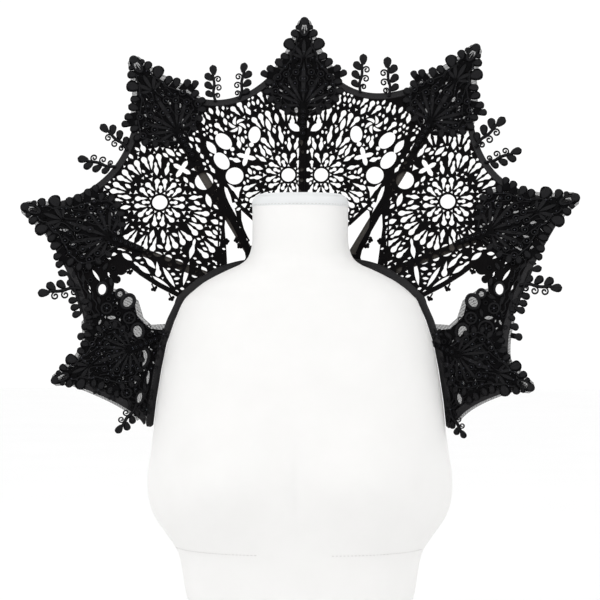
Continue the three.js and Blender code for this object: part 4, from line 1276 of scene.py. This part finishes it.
def tail_lace(side, seed):
    """Raised work on the side panel's tail."""
    chance = random.Random(seed)
    trims = Trimming()
    busy = list(TAIL_HOLES)
    strewn(trims, [], busy, TAIL, CLOTH_HALF, chance, TAIL_STREWING)
    trims.cords.append((closed_disc(*TAIL_OVAL), 1.5, CLOTH_HALF + 0.5))
    for shift in (4.0, 10.0):
        angles = np.arange(-82.0, -97.6, -0.7)
        radius = rim_radius(-side * angles) - BINDING_WIDTH - shift + 1.4 * np.sin(angles * 2.2 + shift)
        trims.cords.append((polar(angles, radius), 1.0, CLOTH_HALF + 0.5))
    flip_trims(trims, side)
    return trims.made(f"tail_work_{SIDE_WORDS[side]}")


def flip_trims(trims, side):
    """Moves trims that were laid out on the left to a side."""
    for kind in trims.spots:
        trims.spots[kind] = [(-side * x, w, -side * turn, lift) for x, w, turn, lift in trims.spots[kind]]
    trims.cords = [(line * (-side, 1.0), radius, lift) for line, radius, lift in trims.cords]


def lower_piece(side, seed):
    chance = random.Random(seed)
    rim = between(-SILL_RIM_ANGLE, -129.5)
    strap = between(-129.5, -SILL_ANGLE)
    outline = np.vstack([panel_edge(rim, side), strap_edge(strap), SILL[::-1]])
    trims = Trimming()
    front = CLOTH_HALF
    laid = [(True, outline)]
    busy = []
    for x, w, rx, ry, turn, cord in OVALS:
        thick = 2 * cord
        laid.append((True, disc(x, w, rx + thick, ry + thick, turn)))
        laid.append((False, disc(x, w, rx, ry, turn)))
        busy.append((x, w, (rx + ry) / 2 + thick))
        trims.cords.append((closed_disc(x, w, rx + cord, ry + cord, turn), cord, front + 0.4))
    for x, w, radius in ROUNDELS:
        laid.append((True, disc(x, w, radius + 1.2)))
        busy.append((x, w, radius + 1))
        trims.cords.append((closed_disc(x, w, radius, count=28), 1.6, front + 0.4))
        for k in range(6):
            spot = np.array([x, w]) + polar(k * 60, radius * 0.48)
            trims.add("leaf", *spot, k * 60, (radius * 0.48, radius * 0.72, 1.8), front)
        trims.add("bead", x, w, 0, (1.5, 1.5, 1.6), front + 1.0)
    for x, w, radius in EDGE_KNOBS:
        turn = angle_at(x, w)
        laid.append((True, shape("drop", x, w, radius * 2.2, radius * 1.9, turn)))
        laid.append((True, strip([(x, w), np.array([x, w]) - polar(turn, 9)], radius * 1.3)))
        trims.add("leaf", x, w, turn, (radius * 1.9, radius * 2.2, 2.0), front + 1.2)
    for x, w, rx, ry, turn in SLITS:
        laid.append((False, disc(x, w, rx, ry, turn, 14)))
        busy.append((x, w, max(rx, ry) * 0.8 + 0.8))
    strewn(trims, laid, busy, outline, front, chance, STREWING)
    for k, share in enumerate(np.linspace(0.16, 0.9, 5)):
        angles = np.arange(-101.0, -127.0, -0.6)
        inner, outer = strap_outer(angles, 1.0), rim_radius(-side * angles) - 9
        wave = inner + (outer - inner) * share + 2.2 * np.sin(angles * 1.5 + k)
        trims.cords += cords_on(laid, polar(angles, wave), 0.9, front + 0.5)
    flip_trims(trims, side)
    word = SIDE_WORDS[side]
    ground = drawn(f"lower_lace_{word}", on_side(laid, side), 0.0, CLOTH_HALF, [GROUND])
    return ground, trims.made(f"lower_lace_{word}_cords")


# Sprigs: a stem with solid leaves on one side and open scrolls on the other
SPRIGS = {
    "sprig_top_left_a": (-117, 261, -4, 1.0, 1), "sprig_top_left_b": (-80.7, 264, 6, 1.0, -1),
    "sprig_top_right_a": (104.5, 268, -4, 1.08, -1), "sprig_top_right_b": (69.8, 273, 6, 1.05, 1),
    "sprig_upper_left_a": (-236.5, 190, -48, 1.0, -1), "sprig_upper_left_b": (-256, 157, -76, 1.0, 1),
    "sprig_upper_right_a": (229, 194, 46, 1.1, 1), "sprig_upper_right_b": (245, 163, 70, 1.0, -1),
    "sprig_lower_left": (-287, -1, -98, 1.05, -1), "sprig_lower_right": (285, 4, 96, 1.05, 1),
    "sprig_end_left": (-204, -152, -146, 0.85, 1), "sprig_end_right": (188, -158, 150, 0.75, -1),
}
SPRIG_LEAVES = [(0.4, 18.0, 13.5, 9.6, -6), (-5.6, 9.4, 13.0, 9.2, -46), (-6.2, -1.8, 13.0, 9.0, -48),
                (-5.8, -12.8, 12.0, 8.2, -54)]
SPRIG_SCROLLS = [(5.6, 5.6, 4.6), (5.8, -5.6, 4.8), (4.4, -15.6, 3.6)]
SCROLL_TURNS = 1.3
RIM_LEAVES = [(4.1, 8), (-2.5, -6), (-4.3, -10), (-6.1, -14)]
RIM_LEAF_LENGTH = 12.0
RIM_LEAF_WIDTH = 8.4


def rim_leaves(x, w, trims, front):
    """Leaves on either side of a sprig, their stem laid along the edge of the binding."""
    middle = angle_at(x, w)
    side = math.copysign(1, x)
    along = middle - side * np.linspace(RIM_LEAVES[-1][0], RIM_LEAVES[0][0], 14)
    stem = polar(along, rim_radius(along) + 0.8)
    laid = [(True, strip(stem, 3.0))]
    trims.cords.append((stem, 1.2, front + 0.2))
    for toward_top, lean in RIM_LEAVES:
        angle = middle - side * toward_top
        place = polar(angle, rim_radius(angle) + 0.53 * RIM_LEAF_LENGTH)
        heading = angle - side * lean
        laid.append((True, shape("drop", *place, RIM_LEAF_LENGTH, RIM_LEAF_WIDTH, heading)))
        trims.add("leaf", *place, heading, (RIM_LEAF_WIDTH, RIM_LEAF_LENGTH, 2.1), front - 0.1)
    return laid


def sprig_piece(name, row):
    x, w, turn, size, hand = row
    trims = Trimming()
    front = LACE_FRONT
    laid = []

    def at(u, v):
        return turned([(u * hand * size, v * size)], x, w, turn)[0]

    stem = curve_through([at(1.5, -23), at(-0.8, -12), at(0.8, 0), at(-0.4, 10), at(0, 15)])
    laid.append((True, strip(stem, 3.6)))
    trims.cords.append((stem, 1.5, front + 0.2))
    for u, v, length, width, lean in SPRIG_LEAVES:
        place = at(u, v)
        heading = turn + lean * hand
        laid.append((True, shape("drop", *place, length * size, width * size, heading)))
        trims.add("leaf", *place, heading, (width * size, length * size, 2.1), front - 0.1)
    for u, v, radius in SPRIG_SCROLLS:
        place = at(u, v)
        t = np.linspace(0, SCROLL_TURNS, 27)
        curl = np.radians(190 - 360 * t)
        reach = radius * (1 - 0.78 * t / SCROLL_TURNS)
        spiral = [at(u + r * math.cos(a), v + r * math.sin(a)) for r, a in zip(reach, curl)]
        laid.append((True, strip(spiral, 1.8 * size)))
        laid.append((True, strip([at(0, v - 3.4), spiral[0]], 2.0 * size)))
        trims.cords.append((spiral, 0.85 * size, front))
    if "lower" in name:
        laid += rim_leaves(x, w, trims, front)
    ground = drawn(name, laid, LACE_MIDDLE, LACE_HALF, [GROUND])
    return ground, trims.made(f"{name}_leaves")


# Satin strips: the strap round the form and the binding of the scallops
TAPE_ACROSS = np.array([0.0, 0.06, 0.16, 0.3, 0.5, 0.7, 0.84, 0.94, 1.0])
TAPE_PUFF = np.array([0.55, 0.9, 0.78, 1.0, 1.08, 1.0, 0.78, 0.9, 0.55])
# The tape's width again, turned under at its edges
SEAM_INSET = 1.4
SEAM_LIFT = 0.82 * TAPE_HALF
STITCH_PITCH = 3.4
STITCH_UNEVENNESS = 0.1


def puffed(name, angles, inner, outer, seed):
    """A folded tape between two radius curves, fuller in its middle, with small puckers."""
    chance = random.Random(seed)
    waves = [(chance.uniform(0.25, 0.9), chance.uniform(0, 6.28), chance.uniform(0.03, 0.09))
             for _ in range(5)]
    length = distances(polar(angles, outer))
    rings, uv = [], []
    for j, angle in enumerate(angles):
        pucker = sum(a * math.sin(f * length[j] + p) for f, p, a in waves)
        radius = inner[j] + (outer[j] - inner[j]) * TAPE_ACROSS
        spots = polar(np.full(len(TAPE_ACROSS), angle), radius)
        rise = TAPE_HALF * TAPE_PUFF + pucker * np.sin(np.pi * TAPE_ACROSS)
        rings.append(np.vstack([on_cloth(spots, rise), on_cloth(spots[::-1], -rise[::-1])]))
        uv += [(s, length[j] / 10) for s in [*TAPE_ACROSS, *TAPE_ACROSS[::-1]]]
    return closed_tube(name, rings, SATIN, uv), float(length[-1])


def stitches_through(name, p, turns, middle, lift, size):
    """A row of stitches that shows on the front and on the back."""
    parts = []
    for face, word in ((1.0, "front"), (-1.0, "back")):
        rows = np.column_stack([p, np.broadcast_to(turns, len(p)), np.full(len(p), middle + face * lift)])
        places, ways = frames_at(rows, face)
        parts.append(scattered(f"{name}_{word}", "stitch", TAPE_THREAD, places, ways,
                               np.tile(size, (len(p), 1)), STITCH_UNEVENNESS))
    return parts


def stitch_rows(name, angles, radius):
    """Stitches in a line along a radius curve."""
    line = polar(angles, radius)
    steps = distances(line)
    s = np.arange(STITCH_PITCH, steps[-1] - STITCH_PITCH, STITCH_PITCH)
    p = along_line(line, steps, s)
    turns = angle_of(along_line(line, steps, s + 1) - p)
    return stitches_through(name, p, turns, 0.0, SEAM_LIFT, (2.2, 2.3, 2.2))


# How far the strap hugs the form, and the stretch over which its ends are rounded, in degrees
STRAP_TUCK = 0.9
STRAP_ROUND = 2.6


def strap_piece(name, start, end, seed):
    angles = between(start, end, 0.8)
    inner = base_radius(angles) - STRAP_TUCK
    outer = strap_outer(angles)
    # the tape's ends are rounded off
    left = np.clip((END_ANGLE - np.abs(angles)) / STRAP_ROUND, 0, 1)
    outer = inner + (outer - inner) * (0.3 + 0.7 * np.sqrt(1 - (1 - left) ** 2))
    tape, length = puffed(name, angles, inner, outer, seed)
    rows = stitch_rows(f"{name}_outer", angles, outer - SEAM_INSET)
    rows += stitch_rows(f"{name}_inner", angles, inner + SEAM_INSET)
    return tape, joined(f"{name}_stitches", rows), length


def binding_piece(name, seed):
    curve = SCALLOPS[name]
    low, high = angle_of(curve[0]), angle_of(curve[-1])
    angles = between(low + 0.1, high - 0.1, 0.8)
    outer = rim_radius(angles)
    if name.startswith("end"):
        room = outer > strap_outer(angles, 1.5)
        angles, outer = angles[room], outer[room]
    inner = np.maximum(shifted(angles, outer, -BINDING_WIDTH), strap_outer(angles, 0.4))
    tape, length = puffed(f"binding_tape_{name}", angles, inner, outer, seed)
    row = stitch_rows(f"binding_{name}_row", angles, shifted(angles, outer, -BINDING_WIDTH + SEAM_INSET))
    return tape, joined(f"binding_tape_{name}_stitches", row), length


# Bones: a covered steel in a sheer casing behind the cloth
CASING_ACROSS = np.array([-1.0, -0.82, -0.6, -0.34, 0.0, 0.34, 0.6, 0.82, 1.0])
CASING_RISE = np.array([0.25, 0.3, 0.35, 0.95, 1.15, 0.95, 0.35, 0.3, 0.25])
# The bones begin this far from the tips of the lace
BONE_START = 30.0
LONGEST_BONE = 320


def bone_piece(name, spike):
    angle, reach, axis, _ = spike
    tip, inward = polar(angle, reach), -polar(axis, 1)
    length = BONE_START
    while length < LONGEST_BONE:
        p = tip + inward * (length + 1)
        if np.hypot(*p) <= strap_outer(angle_of(p), -4.0):
            break
        length += 1
    side = polar(axis + 90, 1) * BONE_WIDTH / 2
    runs = np.arange(BONE_START, length + 0.1, 4.0)
    rings = []
    for run in runs:
        spots = tip + inward * run + side * CASING_ACROSS[:, None]
        rings.append(np.vstack([on_cloth(spots, BONE_MIDDLE + CASING_RISE),
                                on_cloth(spots[::-1], BONE_MIDDLE - CASING_RISE[::-1])]))
    casing = closed_tube(f"bone_casing_{name}", rings, CASING)
    stitches = []
    for edge in (-0.72, 0.72):
        line = tip + np.outer(np.arange(BONE_START + 3, length - 2, STITCH_PITCH), inward) + side * edge
        stitches += stitches_through(f"bone_row_{edge}", line, axis, BONE_MIDDLE, 0.36, (2.0, 2.3, 2.0))
    return casing, joined(f"bone_casing_{name}_stitches", stitches), float(runs[-1] - runs[0])


# The dress form
def form_section(z, sides, inset=0.0):
    half, middle, front, back = (smooth(FORM[:, 0], FORM[:, i], z) for i in (1, 2, 3, 4))
    t = np.arange(sides) / sides * 2 * math.pi
    c, s = np.cos(t), np.sin(t)
    power = 2 / SECTION_POWER
    x = (half - inset) * np.sign(c) * np.abs(c) ** power
    y = middle + np.where(s < 0, front - inset, back - inset) * np.sign(s) * np.abs(s) ** power
    bump = np.exp(-((np.abs(x) - BUST["x"]) / BUST["across"]) ** 2 - ((z - BUST["z"]) / BUST["up"]) ** 2)
    y = y - np.where(s < 0, BUST["rise"] * bump * np.minimum(1, -2 * s), 0)
    return np.column_stack([x, y, np.full(sides, z)])


def lofted(name, rings, materials):
    """A closed solid of rings laid over each other, with a point in the middle of both ends."""
    sides = len(rings[0])
    points = np.vstack([*rings, rings[0].mean(0), rings[-1].mean(0)])
    low = len(rings) * sides
    faces = tube_faces(len(rings), sides)[:-2]
    for i in range(sides):
        k = (i + 1) % sides
        faces.append((low, k, i))
        faces.append((low + 1, low - sides + i, low - sides + k))
    return clean_object(name, points, faces, materials)


FORM_SIDES = 144
FORM_HEIGHTS = np.r_[0.0, 0.8, 2.4, np.arange(6, 500, 4.0), np.arange(500, 606, 1.8),
                     np.arange(606, 630.1, 3.0), 630.9, 631.2, np.arange(632.5, 642.5, 2.0), 642.7]
FOOT_ROUND = 2.4
FOOT_INSET = 1.6
# The seams at the centre front and back, the sides and the princess lines end below the neck
FORM_SEAMS = [math.pi * share for share in (1.5, 0.5, 0.0, 1.0, 1.25, 1.75)]
SEAM_DEPTH = 0.36
SEAM_SPREAD = 0.02
SEAM_TOP = 575
NECK_ROUND = 12.0
NECK_TOP = 646.4
# The cap cloth comes down over the form to a seam
CAP_EDGE = 631.0
CAP_COVER = 0.5


def neck_inset(z):
    """How far the neck's top edge is rounded in at a height."""
    rise = min(max((z - NECK_TOP + NECK_ROUND) / NECK_ROUND, 0), 1)
    return NECK_ROUND * (1 - math.sqrt(1 - rise * rise))


def dress_form():
    t = np.arange(FORM_SIDES) / FORM_SIDES * 2 * math.pi
    rings = []
    for z in FORM_HEIGHTS:
        over = CAP_COVER if z > CAP_EDGE else 0.0
        foot = FOOT_INSET * max(0, 1 - z / FOOT_ROUND) ** 2
        ring = form_section(z, FORM_SIDES, foot + neck_inset(z) - over)
        for at in FORM_SEAMS if z < SEAM_TOP else []:
            apart = np.abs((t - at + math.pi) % (2 * math.pi) - math.pi)
            sink = SEAM_DEPTH * np.exp(-((apart / SEAM_SPREAD) ** 2))
            ring[:, 0] -= sink * np.cos(t)
            ring[:, 1] -= sink * np.sin(t)
        rings.append(ring)
    form = lofted("covered_form", rings, [JERSEY, CAP_CLOTH])
    for face in form.data.polygons:
        face.material_index = int(face.center.z > CAP_EDGE * METRES)
    form.data.set_sharp_from_angle(angle=math.radians(50))
    return form


def neck_cap():
    """The covered neck end: a rolled edge round a slightly dished top."""
    rows = [(z, neck_inset(z)) for z in (642.8, 643.4, 644.2, 645.0, 645.7, 646.15, 646.4)]
    rows += [(646.35, 14.0), (646.0, 17.0), (645.5, 21.0), (645.1, 27.0), (644.9, 34.0), (644.8, 44.0)]
    rings = []
    for z, inset in rows:
        ring = form_section(642.7, FORM_SIDES, inset - CAP_COVER)
        ring[:, 2] = z
        rings.append(ring)
    return lofted("neck_end", rings, [CAP_CLOTH])


# Rows of stitches on the form: height, and the spans round it in degrees
FORM_STITCHES = [(226.0, [(195, 255), (285, 345)]), (632.6, [(0, 360)])]


def form_stitches():
    """Short stitches below the bust and round the neck end."""
    places, turns = [], []
    for z, spans in FORM_STITCHES:
        section = form_section(z, 720)
        steps = distances(section)
        for start, end in spans:
            s = np.arange(steps[start * 2], steps[min(end * 2, 719)], 4.4)
            p = along_line(section, steps, s)
            along = unit(along_line(section, steps, s + 1) - p)
            out = unit(np.cross(along, (0, 0, 1.0)))
            places.append(p + out * (0.1 if z < CAP_EDGE else CAP_COVER + 0.1))
            turns.append(eulers(np.cross(along, out), along, out))
    places = np.vstack(places)
    sizes = np.tile((2.4, 2.8, 2.4), (len(places), 1))
    return scattered("form_stitching", "stitch", FORM_THREAD, places, np.vstack(turns), sizes,
                     STITCH_UNEVENNESS)


# Fine net behind the lace, a little past its edges
def net_behind(name, outline, offset):
    return drawn(name, [(True, outline)], offset, 0.12, [NET], spacing=9.0)


# Half the net behind a motif: distance from the tip, half width
NET_ROWS = [(-0.5, 1.5), (4, 8), (16, 12), (40, 22), (62, 36), (80, 44), (92, 48), (104, 45), (116, 34),
            (128, 12)]


def motif_net(name, spike):
    right = [spike_place(spike, u, v) for v, u in NET_ROWS]
    left = [spike_place(spike, -u, v) for v, u in reversed(NET_ROWS)]
    return net_behind(f"motif_net_{name}", np.array(right + left), NET_MIDDLE)


def lower_net(side):
    rim = between(-SILL_RIM_ANGLE, -129.0)
    strap = between(-129.0, -104.0)
    edge = np.vstack([polar(rim, rim_radius(-side * rim) + 3.0), polar(strap, strap_outer(strap, -1.0)),
                      [(-178, -41), (-187, -33), (-194, -12), (-210, 0), (-226, 3)]])
    return net_behind(f"net_lower_{SIDE_WORDS[side]}", edge * (-side, 1.0), -1.0)


# Camera and light
CAMERA_TURN = math.radians(3.5)
CAMERA_DISTANCE = 2.300
CAMERA_HEIGHT = 0.5194
FRAME_WIDTH = 0.7188
SENSOR_WIDTH = 36.0
FLOOR_REACH = 9
FLOOR_Z = -0.0005


def camera():
    data = bpy.data.cameras.new("front_camera")
    data.sensor_width = SENSOR_WIDTH
    data.lens = SENSOR_WIDTH * CAMERA_DISTANCE / FRAME_WIDTH
    obj = bpy.data.objects.new("front_camera", data)
    across, back = math.sin(CAMERA_TURN) * CAMERA_DISTANCE, math.cos(CAMERA_TURN) * CAMERA_DISTANCE
    obj.location = (across, -back, CAMERA_HEIGHT)
    obj.rotation_euler = (math.pi / 2, 0, CAMERA_TURN)
    bpy.context.scene.collection.objects.link(obj)
    bpy.context.scene.camera = obj


def soft_light(name, place, aim, size, watts):
    data = bpy.data.lights.new(name, "AREA")
    data.shape = "DISK"
    data.size = size
    data.energy = watts
    obj = bpy.data.objects.new(name, data)
    obj.location = place
    obj.rotation_euler = (Vector(aim) - Vector(place)).to_track_quat("-Z", "Y").to_euler()
    bpy.context.scene.collection.objects.link(obj)


def studio():
    world = bpy.data.worlds.new("pale_studio")
    world.use_nodes = True
    background = world.node_tree.nodes["Background"]
    background.inputs["Color"].default_value = (1.0, 1.0, 1.0, 1)
    background.inputs["Strength"].default_value = 1.05
    bpy.context.scene.world = world
    bpy.context.scene.view_settings.view_transform = "Standard"
    soft_light("key", (-1.3, -2.2, 2.1), (0, 0, 0.5), 1.6, 17)
    soft_light("fill", (1.8, -1.6, 1.2), (0, 0, 0.5), 1.8, 5)
    floor = bpy.data.meshes.new("studio_floor")
    corners = [(x * FLOOR_REACH, y * FLOOR_REACH, FLOOR_Z) for x, y in ((-1, -1), (1, -1), (1, 1), (-1, 1))]
    floor.from_pydata(corners, [], [(0, 1, 2, 3)])
    surface = finish("studio_paint", (0.92, 0.92, 0.92), (0.95, 0.95, 0.95), 0.8, 0.00002, 200.0, 3.0)
    floor.materials.append(surface)
    obj = bpy.data.objects.new("studio_floor", floor)
    bpy.context.scene.collection.objects.link(obj)


def lay_lace(ground, raised, stands_for, rests_on):
    """A piece of lace and the raised work that is sewn on it."""
    settle(ground, "lace", stands_for)
    settle(raised, "lace")
    declare_cut(ground)


camera()
studio()

form = settle(dress_form(), "jersey", "dress_form")
settle(neck_cap(), "cap", "neck_cap")
settle(form_stitches(), "jersey")

for side, word in SIDE_WORDS.items():
    for part, draw in (("back", back_panel), ("side", side_panel)):
        panel = drawn(f"tracery_cloth_{part}_{word}", draw(side), 0.0, CLOTH_HALF, [TRACERY, CUT_EDGE])
        settle(panel, "tracery", f"tracery_{part}_{word}")
        work = [settle(tail_lace(side, 23), "lace")] if part == "side" else []
        declare_cut(panel)
    lay_lace(*lower_piece(side, 11), f"lace_lower_{word}", f"strap_{word}")
    declare_cut(settle(lower_net(side), "lace"))

for number, (name, spike) in enumerate(SPIKES.items()):
    lay_lace(*motif_piece(name, spike, 100 + number), f"motif_{name}", f"bone_{name}")
    declare_cut(settle(motif_net(name, spike), "lace"))
    casing, seams, length = bone_piece(name, spike)
    settle_tape(casing, seams, "boning", f"bone_{name}")

for name, row in SPRIGS.items():
    edge = name.removeprefix("sprig_").removesuffix("_a").removesuffix("_b")
    lay_lace(*sprig_piece(f"lace_{name}", row), name, f"binding_{edge}")

STRAPS = {"left": (-END_ANGLE, -60.1), "neck": (-59.9, 59.9), "right": (60.1, END_ANGLE)}
for number, (word, (start, end)) in enumerate(STRAPS.items()):
    tape, seams, length = strap_piece(f"strap_tape_{word}", start, end, 40 + number)
    settle_tape(tape, seams, "satin", f"strap_{word}")
for number, name in enumerate(VALLEYS):
    tape, seams, length = binding_piece(name, 60 + number)
    settle_tape(tape, seams, "satin", f"binding_{name}")

for trim in TRIMS.values():
    bpy.data.objects.remove(trim)
